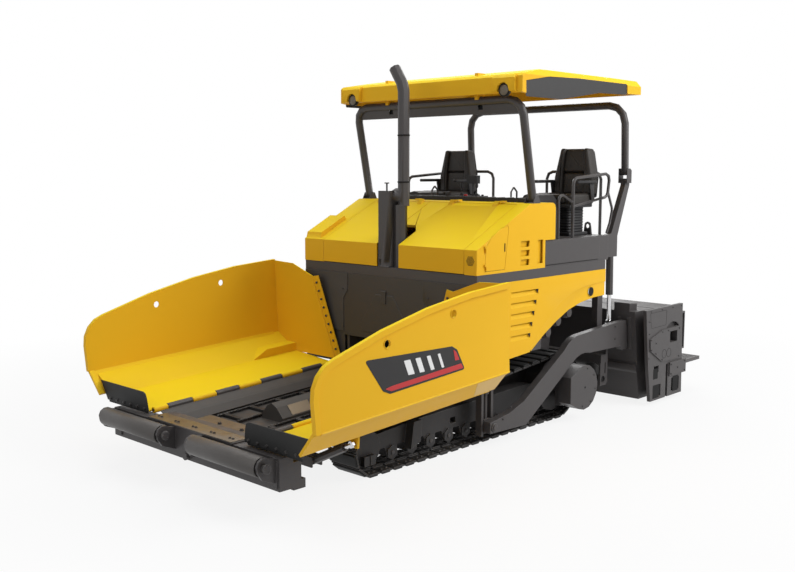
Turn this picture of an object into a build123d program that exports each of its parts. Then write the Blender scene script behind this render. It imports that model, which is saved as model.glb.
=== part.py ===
"""Tracked asphalt paver: hopper with folding wings, hood, operator deck, canopy and floating screed.

Frame: +X forward, +Y left, +Z up, millimetres. While the pieces are drawn, X is the station along
the machine, counted from the front face of the push beam, and Z = 0 is the ground. save() moves
every piece by MID_X, so that the origin lies on the ground below the middle of the whole length.
Pieces that exist on both sides are drawn on the left and mirrored by other().
"""
import os
from math import acos, asin, atan2, ceil, cos, hypot, pi, radians, sin, tan

from build123d import *

os.makedirs("parts", exist_ok=True)

# ---------------------------------------------------------------- driving sizes (mm)
PUSH_FRONT_X = 200              # front of the push rollers
SCREED_REAR_X = -6460           # rear edge of the screed's walkway
MID_X = (PUSH_FRONT_X + SCREED_REAR_X) / 2

TRACK_Y = (600, 960)            # inner and outer edge of the track's shoes
BODY_HALF = TRACK_Y[1] + 240    # half width of hood, belt and side panels
SHEET = 12                      # wall of covers and panels
SEAM = 4                        # gap at a cover's edge
RUN = 8                         # clearance between pieces that move past each other
FIT = 0.1                       # radial clearance of a pin in its round bore
CHORD = 5                       # arcs of an outline are drawn as chords this close to them
CENTRE_R = 8                    # centre hole in the end of a turning shaft

# push beam and rollers
BEAM_HALF, BEAM_T = BODY_HALF, 140
BEAM_Z = (233, 495)             # bottom, top
ROLLER_R, ROLLER_PIN_R = 82, 30
ROLLER_X, ROLLER_Z = PUSH_FRONT_X - ROLLER_R, 442
ROLLER_Y = (230, BEAM_HALF - 70)    # inner and outer end
EAR_T = 24

# hopper hinge line: level across, rising to the rear
HINGE_Y, HINGE_Z = 720, 520     # the line's height is taken at station 0
HOPPER_RISE = 3.1               # degrees
HINGE_R, HINGE_PIN_R = 28, 14
HINGE_FROM, HINGE_TO, KNUCKLE = -111, -2345, 270

# hopper wing section, counted from the hinge line: (out from the centre line, up)
WING_BEND, WING_CREASE, WING_SKIRT = (1330, 55), (1625, 245), (1455, 45)
WING_T = 12
WING_REAR = -2340
WING_TOP = 1048                 # rim above the hinge line at the rear
RIM_OUT, RIM_IN, RIM_W = 6, 44, 40  # rolled rim: past the panel's edge, down over it, width
WING_HOLES = ((-790, 782), (-1590, 892))
WING_FOOT = (-700, 800, 250)    # pivot of the wing's cylinder on the frame
WING_LUG = (-687.3, 1280, 485)  # eye of its rod, square across the hinge line from the pivot
LUG_GAP = 22                    # from the eye's middle to the lug beside it
WING_PIN_R = 16

# frame
WALL_Y = (TRACK_Y[0] - 70, TRACK_Y[0] - 40)     # frame walls, inner and outer face
WALL_DROP = 115                 # their top edge below the hinge line
BULK_X, BULK_T = -2370, 16
TANK_Y = BODY_HALF - 140        # outer face of the side tanks, inside the tow arms
FRAME_REAR_X = -4560

# crawler tracks
SHOES = 48
SHOE_T, GROUSER = 50, 16
SPROCKET = (-4100, 368, 368)    # station, height, outer radius with shoes
IDLER = (-1270, 240, 240)
ROLLER_ROW = (-1580, 260, 9)     # first bottom roller, pitch, count
BOTTOM_ROLLER_R = 70
TRACK_FRAME_Y = (TRACK_Y[0] + 100, TRACK_Y[1] - 100)

# hood and body
HOOD_FRONT_X, HOOD_BREAK_X, HOOD_REAR_X = -2364, -3190, -3620
HOOD_Z = (1715, 1950, 2360)     # foot, top of the front face, top
HOOD_STEP = (-3450, 1990)       # the rear lower corner is cut away up to here
BELT_Z = (1618, 1715)
BELT_REAR_X = -4580
LID_LEFT, LID_RIGHT = (-95, BODY_HALF - 150), (297 - BODY_HALF, -95)    # lids between these Y
LID_EDGE = ((-2618, 201), (-2720, 106), (-3030, -95))   # inner edge of the left lid, from the front
LIP_W = 28                      # turned-in edge of the side panels
LID_AXIS = (-3167, 2372)        # hinge of the lids
DOOR_AXIS = (-2487, BODY_HALF + 10)     # hinge of the side doors
BARREL_R = 8                    # hinge barrels of lids and doors

# operator deck and canopy
DECK_Z = 1985
DECK_REAR_X = -4640
EYE, EYE_R, EYE_T = (-4587.5, 2075), 24, 25 # lifting eye on the deck: place, hole, plate
EYE_Y = BODY_HALF - 240
FOOT, HOOP_TOP = (-3300, 2405), (-3105, 3370)       # front hoop: lower and upper pivot
KNEE, REAR_TOP = (-5095, 2660), (-5060, 3400)       # rear hoop: lower and upper pivot
FRONT_HALF, REAR_HALF = BODY_HALF - 60, BODY_HALF - 95      # the hoops, to the posts' middle
HOOP_R, HOOP_SIDES, HOOP_PIN_R = 42, 8, 16
SADDLE_Y = (600, 640)           # the roof's saddles on the front hoop's bar
ROOF_HALF = BODY_HALF + 50
ROOF_X = (-2920, -5140)
ROOF_WALL = 30
POD_PROUD = 40                  # the lamp pods stand out past the roof's front face
LAMP_Y, LAMP_Z, LAMP_R = ROOF_HALF - 207, 3446, 73

# seats, rails
SEAT_X, SEAT_Y = -4320, BODY_HALF - 360
RAIL_R, RAIL_Y, RAIL_TOP = 17, BODY_HALF - 35, 2665

# tow arms, screed and augers
ARM_Y, ARM_W = BODY_HALF - 90, 80
TOW, TOW_PIN_R = (-2720, 205), 30
SCREED_HALF = BODY_HALF + 50
SCREED_FRONT = (-5150, -5280)   # front face at its top and bottom
SCREED_BACK_X = -5560
SCREED_Z = (60, 1080)
EXT_X = (-5580, -5960)
GATE_Y = (SCREED_HALF + 110, SCREED_HALF + 150)
AUGER_X, AUGER_Z, AUGER_R = -4850, 330, 170
LIFT_PIN_R = 24
AUGER_PITCH, AUGER_SHAFT_R, FLIGHT_SIDES = 300, 38, 8
AUGER_Y = (112, ARM_Y - 86)
LIFT_Y, LIFT_TOP, LIFT_EYE = ARM_Y - 95, (-4966, 1829), (-4985, 960)


# ---------------------------------------------------------------- helpers
def save(name, *shapes):
    """Move the shapes to the model's origin and write them as one STEP file."""
    solids = [s.moved(Location((-MID_X, 0, 0))) for shape in shapes for s in shape.solids()]
    export_step(Compound(children=solids) if len(solids) > 1 else solids[0], f"parts/{name}.step")


def block(x, y, z):
    """Box from three (from, to) pairs."""
    size = [abs(b - a) for a, b in (x, y, z)]
    mid = [(a + b) / 2 for a, b in (x, y, z)]
    return Pos(*mid) * Box(*size)


def chords(a, via, b):
    """Points along the arc from a through via to b, without a itself, with CHORD as largest error."""
    (ax, ay), (vx, vy), (bx, by) = a, via, b
    d = 2 * (ax * (vy - by) + vx * (by - ay) + bx * (ay - vy))
    sa, sv, sb = ax * ax + ay * ay, vx * vx + vy * vy, bx * bx + by * by
    x = (sa * (vy - by) + sv * (by - ay) + sb * (ay - vy)) / d
    y = (sa * (bx - vx) + sv * (ax - bx) + sb * (vx - ax)) / d
    r, start = hypot(ax - x, ay - y), atan2(ay - y, ax - x)
    turn = (atan2(by - y, bx - x) - start) % (2 * pi)
    if (atan2(vy - y, vx - x) - start) % (2 * pi) > turn:
        turn -= 2 * pi
    n = max(2, ceil(abs(turn) / (2 * acos(1 - CHORD / r))))
    return [(x + r * cos(start + turn * i / n), y + r * sin(start + turn * i / n)) for i in range(1, n + 1)]


def corners(points):
    """Corners (u, v) of an outline whose points are corners or arcs (u, v, via_u, via_v)."""
    ring = [points[0][:2]]
    for p in points[1:]:
        ring += chords(ring[-1], p[2:], p[:2]) if len(p) == 4 else [p]
    return ring


def outline(points, lift):
    """Closed face from corners and arcs; lift maps (u, v) to 3-D."""
    return make_face(Polyline(*[lift(u, v) for u, v in corners(points)], close=True))


def side(points, y):
    """Outline in X and Z, drawn through from y[0] to y[1]."""
    return extrude(outline(points, lambda u, v: (u, min(y), v)), amount=abs(y[1] - y[0]), dir=(0, 1, 0))


def cross(points, x):
    """Outline in Y and Z, drawn through from x[0] to x[1]."""
    return extrude(outline(points, lambda u, v: (min(x), u, v)), amount=abs(x[1] - x[0]), dir=(1, 0, 0))


def plan(points, z):
    """Outline in X and Y, drawn through from z[0] to z[1]."""
    return extrude(outline(points, lambda u, v: (u, v, min(z))), amount=abs(z[1] - z[0]), dir=(0, 0, 1))


def rod(a, b, r):
    """Round bar of radius r from a to b."""
    a, b = Vector(*a), Vector(*b)
    return extrude(Plane(origin=a, z_dir=b - a) * Circle(r), amount=(b - a).length)


def across(x, z, y, r):
    """Round bar of radius r along Y."""
    return rod((x, y[0], z), (x, y[1], z), r)


def bar(a, b, r, sides=8):
    """Bar with flat sides, its corners at radius r, from a to b."""
    a, b = Vector(*a), Vector(*b)
    return extrude(Plane(origin=a, z_dir=b - a) * RegularPolygon(r, sides), amount=(b - a).length)


def flat_bore(r, sides=8):
    """Corner radius of a bore with flat sides that clears a pin of radius r."""
    return (r + FIT) / cos(pi / sides)


def bar_across(x, z, y, r, sides=8):
    """Bar with flat sides along Y."""
    return bar((x, y[0], z), (x, y[1], z), r, sides)


def eased(points, bend, steps):
    """The points with each inner corner turned along an arc of radius bend, steps to the right angle."""
    p = [Vector(*q) for q in points]
    path = [p[0]]
    for a, b, c in zip(p, p[1:], p[2:]):
        u, v = (b - a).normalized(), (c - b).normalized()
        turn = acos(u.dot(v))
        start, inward = b - u * bend * tan(turn / 2), (v - u * cos(turn)).normalized()
        n = max(1, round(turn / (pi / 2) * steps))
        for i in range(n + 1):
            t = turn * i / n
            path.append(start + u * (bend * sin(t)) + inward * (bend * (1 - cos(t))))
    return path + [p[-1]]


def tube(points, r, bend, sides=5, steps=2):
    """Bar with flat sides through the points, mitred at every small turn of its bends."""
    path = Polyline(*eased(points, bend, steps))
    section = Plane(origin=path @ 0, z_dir=path % 0) * RegularPolygon(r, sides)
    return sweep(section, path=path, transition=Transition.RIGHT)


def band(points, t):
    """Corners of an open strip of thickness t along the points (u, v), on their left."""
    grown = []
    for i, (u, v) in enumerate(points):
        normals = []
        for a, b in ((i - 1, i), (i, i + 1)):
            if 0 <= a and b < len(points):
                du, dv = points[b][0] - points[a][0], points[b][1] - points[a][1]
                normals.append((-dv / hypot(du, dv), du / hypot(du, dv)))
        nu, nv = sum(n[0] for n in normals), sum(n[1] for n in normals)
        k = t / (nu * normals[0][0] + nv * normals[0][1])
        grown.append((u + k * nu, v + k * nv))
    return list(points) + grown[::-1]


def pair(s, a, b):
    """The span from a to b on side s (+1 left, -1 right), sorted."""
    return sorted((s * a, s * b))


def other(shape):
    """The same shape on the machine's other side."""
    return mirror(shape, about=Plane.XZ)


def both(shape):
    """The shape and its mirror image."""
    return [shape, other(shape)]


def on_hinge(shape):
    """Tip what was drawn level, with the hinge line at Z = 0, to the hopper's rise."""
    return Pos(0, 0, HINGE_Z) * (Rot(0, HOPPER_RISE, 0) * shape)


def hinge_height(x):
    """Height of the hinge line at a station."""
    return HINGE_Z - x * tan(radians(HOPPER_RISE))


def along_hinge(point, reach):
    """The two ends of a short line through the point, parallel to the hinge line."""
    way = Vector(cos(radians(HOPPER_RISE)), 0, -sin(radians(HOPPER_RISE))) * reach
    return Vector(*point) - way, Vector(*point) + way


# ---------------------------------------------------------------- push beam
def push_beam():
    """Hollow beam with its top plate, stepped ends and the teardrop ears that carry the rollers."""
    wall = 20
    low, high = BEAM_Z
    beam = block((-BEAM_T, 0), (-BEAM_HALF, BEAM_HALF), BEAM_Z)
    beam -= block((-BEAM_T + wall, -wall), (-BEAM_HALF + wall, BEAM_HALF - wall), (low + wall, high - wall))
    beam += block((-260, 10), (-620, 620), (high, high + 12))
    x, z = ROLLER_X, ROLLER_Z
    ear = [(0, low + 60), (0, high - 4), (x - 56, z + 62), (x - 30, z + 76), (x + 12, z + 76), (x + 50, z + 54),
           (x + 68, z + 14), (x + 58, z - 34), (x + 14, z - 96)]
    for s in (-1, 1):
        beam += block((-220, -BEAM_T), pair(s, BEAM_HALF - 130, BEAM_HALF), (290, 440))
        beam += block((-262, -BEAM_T), pair(s, BEAM_HALF - 170, BEAM_HALF), (214, 290))
        for y, t in ((ROLLER_Y[0] - 6, -EAR_T), (ROLLER_Y[1] + 6, EAR_T)):
            beam += side(ear, pair(s, y, y + t))
            beam -= bar_across(x, z, pair(s, y - 30, y + 30), flat_bore(ROLLER_PIN_R))
        beam += block((0, 12), pair(s, ROLLER_Y[1] - 60, ROLLER_Y[1] + 50), (low + 20, high - 20))
    return beam + bar((0, -20, 270), (34, -20, 270), 34)


def push_roller():
    """Tube roller with its pin, which turns in the beam's ears."""
    drum = bar_across(ROLLER_X, ROLLER_Z, ROLLER_Y, ROLLER_R, 16)
    ends = (ROLLER_Y[0] - 44, ROLLER_Y[1] + 44)
    roller = drum + bar_across(ROLLER_X, ROLLER_Z, ends, ROLLER_PIN_R)
    return roller - across(ROLLER_X, ROLLER_Z, (ends[1] - 12, ends[1] + 5), CENTRE_R)


# ---------------------------------------------------------------- frame and conveyor
def main_frame():
    """Two frame walls with the conveyor tunnel between them, cross members and side tanks."""
    top = lambda x: hinge_height(x) - WALL_DROP
    back = BULK_X - BULK_T
    wall = [(-BEAM_T, 250), (-BEAM_T, top(-BEAM_T)), (back, top(BULK_X)), (back, BELT_Z[0]),
            (FRAME_REAR_X, BELT_Z[0]), (FRAME_REAR_X, 1250), (-4440, 520), (-4300, 300), (-700, 280)]
    frame = side(wall, WALL_Y) + side(wall, (-WALL_Y[1], -WALL_Y[0]))
    inner = (-WALL_Y[0], WALL_Y[0])
    frame += block((-4250, -600), inner, (290, 300))
    frame += block((-4400, back), inner, (960, 972))
    frame += block((FRAME_REAR_X, FRAME_REAR_X + 15), (-700, 700), (1250, BELT_Z[0]))
    for s in (-1, 1):
        out = pair(s, WALL_Y[1], TRACK_Y[0] - 10)
        for x in (-2000, -3300):
            frame += block((x - 100, x + 100), out, (230, 320))
        for a, b in ((-62, -46), (46, 62)):
            frame += block((WING_FOOT[0] + a, WING_FOOT[0] + b), pair(s, WALL_Y[1], WING_FOOT[1] + 40), (205, 295))
        foot = (WING_FOOT[0], s * WING_FOOT[1], WING_FOOT[2])
        frame += bar(*along_hinge(foot, 60), WING_PIN_R)
        frame += block((-3600, back - 90), pair(s, WALL_Y[1], TANK_Y), (850, BELT_Z[0]))
    return frame


def conveyor_floor():
    """Floor plate of both conveyors and the roof-shaped ridge between them; the nose plate before it."""
    half = WALL_Y[0] - 1
    floor = on_hinge(block((-4380, -420), (-half, half), (-172, -160)))
    ridge = [(-150, -160), (-150, -118), (-70, -30), (0, 5), (70, -30), (150, -118), (150, -160)]
    ridge = on_hinge(cross(ridge, (-4380, -900)))
    nose = on_hinge(cross(band([(-480, -118), (480, -118)], 12), (-560, -300)))
    return floor + ridge, nose


def conveyor_chains():
    """Slat bars on two chain strands for each of the two conveyors."""
    strands = []
    for s in (-1, 1):
        run = None
        for y in (185, WALL_Y[0] - 45):
            strand = on_hinge(block((-4300, -600), pair(s, y - 12, y + 12), (-158, -128)))
            run = strand if run is None else run + strand
        for i in range(6):
            x = -720 - i * 620
            run += on_hinge(block((x - 22, x + 22), pair(s, 197, WALL_Y[0] - 57), (-150, -128)))
        strands.append(run)
    return strands


def knuckle_spans():
    """Spans between the stations where the hinge changes from wing to frame, from the front."""
    ends = [HINGE_FROM] + [-260 - KNUCKLE * i for i in range(8)] + [HINGE_TO]
    return list(zip(ends, ends[1:]))


def knuckles(first):
    """Every second knuckle of the left hinge line, level, from the given one on."""
    return [bar((b + 2, HINGE_Y, 0), (a - 2, HINGE_Y, 0), HINGE_R, 6) for a, b in knuckle_spans()[first::2]]


def hinge_pins():
    """The two pins that the rail's end knuckles hold in those of the wing, level."""
    (front, f), (b, back) = knuckle_spans()[0], knuckle_spans()[-1]
    return [bar((f - 40, HINGE_Y, 0), (front, HINGE_Y, 0), HINGE_PIN_R),
            bar((back, HINGE_Y, 0), (b + 40, HINGE_Y, 0), HINGE_PIN_R)]


def hopper_rail():
    """Side plate between the conveyor and the left hinge line, with the frame's knuckles and the pins."""
    slope = [(505, -118), (575, -62), (600, -48), (HINGE_Y - 24, -8)]
    rail = cross(band(slope, -10), (-2300, HINGE_FROM - 60))
    for a, b in knuckle_spans()[0::2]:
        rail -= block((b - 2, a + 2), (HINGE_Y - 34, HINGE_Y + 40), (-40, 40))
    for piece in knuckles(1) + hinge_pins():
        rail += piece
    return on_hinge(rail)


# ---------------------------------------------------------------- hopper wings
def wing_side(below, behind=0):
    """Outline of the upright panel: round front corner, rim a long arc that is level at the rear."""
    low, rear = WING_CREASE[1] - below, WING_REAR - behind
    return [(rear, low), (0, low), (12, 500), (-200, 768, -45, 675), (WING_REAR, WING_TOP, -1245, 985),
            (rear, WING_TOP)]


def wing_rim(inside):
    """Rolled rim: a strip that follows the panel's front and top edge and stands out past its face."""
    edge = outline(wing_side(100, 100), lambda u, v: (u, inside, v))
    strip = offset(edge, RIM_OUT, kind=Kind.INTERSECTION) - offset(edge, -RIM_IN, kind=Kind.INTERSECTION)
    keep = block((WING_REAR, 100), (inside, inside + RIM_W), (WING_CREASE[1] + 5, WING_TOP + 50))
    return extrude(strip, amount=RIM_W, dir=(0, 1, 0)) & keep


def deflector():
    """Wedge on the slope before the rear flap: it turns the mix inwards."""
    (bu, bv), foot = WING_BEND, WING_REAR + 2
    section = [(bu - 4, bv - 6), (bu - 18, bv + 90), (bu + 150, bv + 92), (bu + 10, bv - 6)]
    ramp = [(foot, bv - 10), (-1745, bv - 10), (-1745, bv + 6), (-1930, bv + 97), (foot, bv + 97)]
    return cross(section, (foot, -1745)) & side(ramp, (bu - 30, bu + 200))


def wing():
    """Left wing: floor, slope, upright panel with its rolled rim, skirt, rear flap and knuckles."""
    inside = WING_CREASE[0] - WING_T
    floor = [(HINGE_Y + 20, 0), WING_BEND, WING_CREASE]
    shell = cross(band(floor, -WING_T), (WING_REAR, -70))
    shell += cross(band([WING_SKIRT, WING_CREASE], WING_T), (-2250, -20))
    shell += cross(band([WING_SKIRT, WING_CREASE], RIM_W * 0.6), (-RIM_IN, RIM_OUT))
    shell += side(wing_side(12)[:-1], (inside, WING_CREASE[0])) + wing_rim(inside)
    flap = [(690, 50), (WING_BEND[0], 50), (inside + 4, 238), (inside + 4, WING_TOP - 6), (1303, 1030), (992, 915)]
    shell += cross(flap, (WING_REAR, WING_REAR + WING_T))
    seal = [(610, 80), (700, 60), (1000, 908), (905, 925)]
    shell += cross(seal, (WING_REAR - 8, WING_REAR + 2)) + deflector()
    for k in knuckles(0):
        shell += k
    (front, f), (b, back) = knuckle_spans()[0], knuckle_spans()[-1]
    shell -= rod((f - 5, HINGE_Y, 0), (front + 5, HINGE_Y, 0), HINGE_PIN_R + FIT)
    shell -= bar((back - 5, HINGE_Y, 0), (b + 5, HINGE_Y, 0), flat_bore(HINGE_PIN_R))
    for a, b in knuckle_spans()[1::2]:
        shell -= block((b - 2, a + 2), (HINGE_Y - 40, HINGE_Y + 34), (-34, 34))
    for x, z in WING_HOLES:
        shell -= bar_across(x, z, (inside - 10, inside + RIM_W), 33, 8)
    x = WING_LUG[0] - LUG_GAP
    return on_hinge(shell) + cross([(1240, 450), (1320, 450), (1335, 609), (1225, 597)], (x - 24, x))


def front_flap():
    """Rubber flap that closes the front of the wing's floor, with its clamping angle."""
    rubber = cross([(705, 2), (725, 120), (740, 160), (775, 176), (1500, 175), (1400, 2)], (-62, -50))
    angle = cross([(730, -20), (730, 40), (1395, 40), (1395, -22)], (-70, -62))
    return on_hinge(rubber + angle)


def wing_axis():
    """Pivot, eye and direction of the left wing's cylinder."""
    foot, eye = Vector(*WING_FOOT), Vector(*WING_LUG)
    return foot, eye, (eye - foot).normalized()


def wing_barrel():
    """Barrel of the wing's cylinder, turning on its pin in the frame's outrigger."""
    foot, _, way = wing_axis()
    barrel = bar(foot + way * 24, foot + way * 440, 38) - bar(foot + way * 60, foot + way * 450, 24)
    return barrel + bar(*along_hinge(foot, 26), 36) - rod(*along_hinge(foot, 30), WING_PIN_R + FIT)


def wing_rod():
    """Rod of the wing's cylinder; its eye ends beside the wing's lug."""
    foot, eye, way = wing_axis()
    return bar(foot + way * 150, eye, 20) + bar(*along_hinge(eye, 14), 32)


# ---------------------------------------------------------------- crawler tracks
def loop_frame():
    """Directions of the two outer tangents of sprocket and idler, and the length of the loop's runs."""
    (xs, zs, rs), (xi, zi, ri) = SPROCKET, IDLER
    span = hypot(xi - xs, zi - zs)
    base, lean = atan2(zi - zs, xi - xs), asin((rs - ri) / span)
    return base + pi / 2 - lean, base - pi / 2 + lean, span * cos(lean)


def loop_point(share, grow):
    """Point at a share (0..1) of the way round the loop, forwards along the top, grown outwards."""
    (xs, zs, rs), (xi, zi, ri) = SPROCKET, IDLER
    rs, ri = rs - GROUSER, ri - GROUSER
    top, low, run = loop_frame()
    parts = (run, ri * (top - low), run, rs * (2 * pi - top + low))
    s = (share % 1) * sum(parts)
    for i, part in enumerate(parts):
        if s < part or i == 3:
            break
        s -= part
    k = s / run
    if i == 0:
        x, z, r, t = xs + (xi - xs) * k, zs + (zi - zs) * k, rs + (ri - rs) * k, top
    elif i == 1:
        x, z, r, t = xi, zi, ri, top - s / ri
    elif i == 2:
        x, z, r, t = xi + (xs - xi) * k, zi + (zs - zi) * k, ri + (rs - ri) * k, low
    else:
        x, z, r, t = xs, zs, rs, low - s / rs
    return x + cos(t) * (r + grow), z + sin(t) * (r + grow)


def track():
    """One loop of shoes with flat pads; a notch parts each pad from the next."""
    step = ((0, -10), (0.09, GROUSER), (0.91, GROUSER))
    outer = [loop_point((i + f) / SHOES, g) for i in range(SHOES) for f, g in step]
    top, low, _ = loop_frame()
    inner = []
    for (x, z, r), a, b in ((IDLER, top, low), (SPROCKET, low, top - 2 * pi)):
        for i in range(9):
            t = a + (b - a) * i / 8
            inner.append((x + cos(t) * (r - GROUSER - SHOE_T), z + sin(t) * (r - GROUSER - SHOE_T)))
    loop = [make_face(Polyline(*[(x, TRACK_Y[0], z) for x, z in ring], close=True)) for ring in (outer, inner)]
    return extrude(loop[0] - loop[1], amount=TRACK_Y[1] - TRACK_Y[0], dir=(0, 1, 0))


def track_frame():
    """Side beam with its roller brackets, the idler, the sprocket and the bottom rollers."""
    y = TRACK_FRAME_Y
    first, pitch, count = ROLLER_ROW
    low = [(-1200, 180), (-1200, 330)]
    teeth = []
    for i in range(count):
        x = first - i * pitch
        teeth += [(x + 85, 205), (x + 55, 112), (x - 55, 112), (x - 85, 205)]
    frame = side(low + [(-1900, 385), (-3650, 440), (-3850, 400), (-3850, 205)] + teeth[::-1], y)
    for x, z, r in (IDLER, SPROCKET):
        frame += bar_across(x, z, (y[0], y[1] + 10), r - GROUSER - SHOE_T - 12, 12)
    for i in range(count):
        frame += bar_across(first - i * pitch, 146, (y[1], y[1] + 20), BOTTOM_ROLLER_R, 6)
    for x in (-2000, -3300):
        frame += block((x - 100, x + 100), (TRACK_Y[0] - 10, y[0]), (230, 320))
    for x in (-1215, -1290):
        frame += block((x - 32, x + 30), (y[1], y[1] + 60), (102, 190))
    frame += side([(-1750, 150), (-1790, 400), (-1900, 400), (-1880, 200)], (y[1], y[1] + 90))
    return frame - block((-2480, -2400), (y[0] - 5, y[1] + 5), (250, 310))


def drive_cover():
    """Final drive outside the sprocket: round at the rear, drawn to a flat front, on its carrier."""
    x, z, r = -4235, 360, 245
    flat, half = -3962, 140
    reach = atan2(half, flat - x) + acos(r / hypot(flat - x, half))
    tip = (x + r * cos(reach), z + r * sin(reach))
    drum = side([(flat, z - half), (flat, z + half), tip,
                 (tip[0], 2 * z - tip[1], x - r, z)], (TRACK_Y[1] + 80, BODY_HALF))
    return drum + block((-4380, -4010), (TRACK_Y[1] + 5, TRACK_Y[1] + 80), (z - 190, z + 190))


# ---------------------------------------------------------------- hood and body
def slope_z(x):
    """Height of the hood's slope at a station."""
    return HOOD_Z[1] + (HOOD_FRONT_X - x) * (HOOD_Z[2] - HOOD_Z[1]) / (HOOD_FRONT_X - HOOD_BREAK_X)


def on_slope(x, z, y):
    """Plate along the hood's slope between two stations; z gives its lower and upper face from it."""
    return side([(x[0], slope_z(x[0]) + z[0]), (x[1], slope_z(x[1]) + z[0]),
                 (x[1], slope_z(x[1]) + z[1]), (x[0], slope_z(x[0]) + z[1])], y)


def hood():
    """Hood shell: side modules, top and rear wall, open at the front where the lids close it."""
    front, brk, rear = HOOD_FRONT_X, HOOD_BREAK_X, HOOD_REAR_X
    low, mid, high = HOOD_Z
    skin = [(front, low), (front, mid), (brk, high), (rear + 50, high), (rear, high - 50, rear + 15, high - 15),
            (rear, HOOD_STEP[1]), HOOD_STEP, (HOOD_STEP[0], low)]
    t = SHEET
    void = [(front - t, low - 5), (front - t, mid - 8), (brk - 4, high - t), (rear + 50, high - t),
            (rear + t, high - 50), (rear + t, HOOD_STEP[1] + t), (HOOD_STEP[0] + t, HOOD_STEP[1] + t),
            (HOOD_STEP[0] + t, low - 5)]
    shell = side(skin, (-BODY_HALF, BODY_HALF)) - side(void, (-BODY_HALF + t, BODY_HALF - t))
    shell -= block((brk + 20, front + 50), (LID_RIGHT[0], LID_LEFT[1]), (low - 5, high + 50))
    rib = (brk - 10, LID_EDGE[1][0])
    shell += on_slope(rib, (-60, -22), (LID_LEFT[0] - 20, LID_LEFT[0] + 20))
    shell += block((brk - 40, brk + 15), (LID_LEFT[0] - 20, LID_LEFT[0] + 20), (high - 60, high - 6))
    (x0, y0), (x1, y1) = LID_EDGE[1:]
    gap = plan([(x0, y1 + SEAM), (x0, y0 - SEAM), (x1 + 2 * SEAM, y1 + SEAM)], (low, high))
    shell += on_slope((x1, x0), (-25, 0), (y1, y0)) & gap
    intake = [(front - 20, slope_z(front - 20) - 5), (front - 40, slope_z(front - 40) + 50),
              (-2740, slope_z(-2740) + 50), (-2775, slope_z(-2775) - 5)]
    shell += side(intake, (-BODY_HALF, 225 - BODY_HALF))
    for s in (-1, 1):
        shell -= hood_door_outline(s, 0)
        wall = pair(s, BODY_HALF - t - 2, BODY_HALF + 2)
        for z in (1940, 1850, 1760):
            shell -= side([(-3035, z), (-3045, z + 60), (-3185, z + 60), (-3175, z)], wall)
        shell -= block((-3410, -3320), wall, (1763, 1998))
        for z in (1792, 1962):
            x, y = DOOR_AXIS
            shell += block((x - 5, -2470), pair(s, BODY_HALF - 3, y + 5), (z, z + 22))
    x, z = LID_AXIS
    for y in (LID_RIGHT[0] + 123, -300, 260, LID_LEFT[1] - 210):
        shell += block((x - 50, x + BARREL_R), (y, y + 50), (z - BARREL_R, z + BARREL_R))
    return shell


def hood_door_outline(s, shrink):
    """Arched door in the hood's side: its rear end is higher than its front."""
    k = shrink
    shape = [(-2490 - k, 1742 + k), (-2495 - k, 1975 - k), (-2805, 2160 - k, -2620, 2085 - k),
             (-2846 + k, 2135 - k, -2838 + k, 2158 - k), (-2790 + k, 1742 + k)]
    return side(shape, pair(s, BODY_HALF - SHEET - 2, BODY_HALF + 2))


def hood_door():
    """Left hood door, with its two hinge barrels along the front edge."""
    x, y = DOOR_AXIS
    door = hood_door_outline(1, SEAM) & block((-3000, -2400), (BODY_HALF - SHEET + 2, BODY_HALF), (1700, 2200))
    leaf = [(x, y - 6), (x, y + 6), (x - 12, y + 6), (x - 25, y - 4), (x - 25, y - 12), (x - 10, y - 12), (x - 9, y - 6)]
    for z in (1752, 1922):
        door += plan(leaf, (z, z + 38))
    door += rod((x, y, 1922), (x, y, 1960), BARREL_R)
    return door


def hood_lid(y, hinges):
    """Cover over the slope and the front face between the given Y, with its hinge barrels."""
    front, back = HOOD_FRONT_X, LID_AXIS[0] + 3
    low, mid = HOOD_Z[:2]
    t = SHEET
    skin = [(front, low + 6), (front, mid), (back, slope_z(back)), (back, slope_z(back) - t * 1.12),
            (front - t, mid - 5), (front - t, low + 6)]
    lid = side(skin, (y[0] + SEAM, y[1] - SEAM))
    x, z = LID_AXIS
    leaf = [(x - 5, z - 5), (x - 5, z + 5), (x, z + BARREL_R - 2), (x + 50, slope_z(x + 50) + 6), (x + 50, slope_z(x + 50) - 4),
            (x + 6, slope_z(x + 6) - 4)]
    for i, h in enumerate(hinges):
        lid += side(leaf, (h, h + 60))
        if i == 0:
            lid += across(x, z, (h, h + 60), BARREL_R)
    return lid


def left_lid():
    """Left lid: its inner edge leans in behind the exhaust's housing."""
    edge = [(x, y + SEAM) for x, y in LID_EDGE]
    away = plan([(HOOD_FRONT_X + 20, LID_LEFT[0] - 20), (HOOD_FRONT_X + 20, edge[0][1])] + edge
                + [(edge[-1][0], LID_LEFT[0] - 20)], (HOOD_Z[0], HOOD_Z[2] + 50))
    return hood_lid(LID_LEFT, (196, LID_LEFT[1] - 274)) - away


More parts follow.
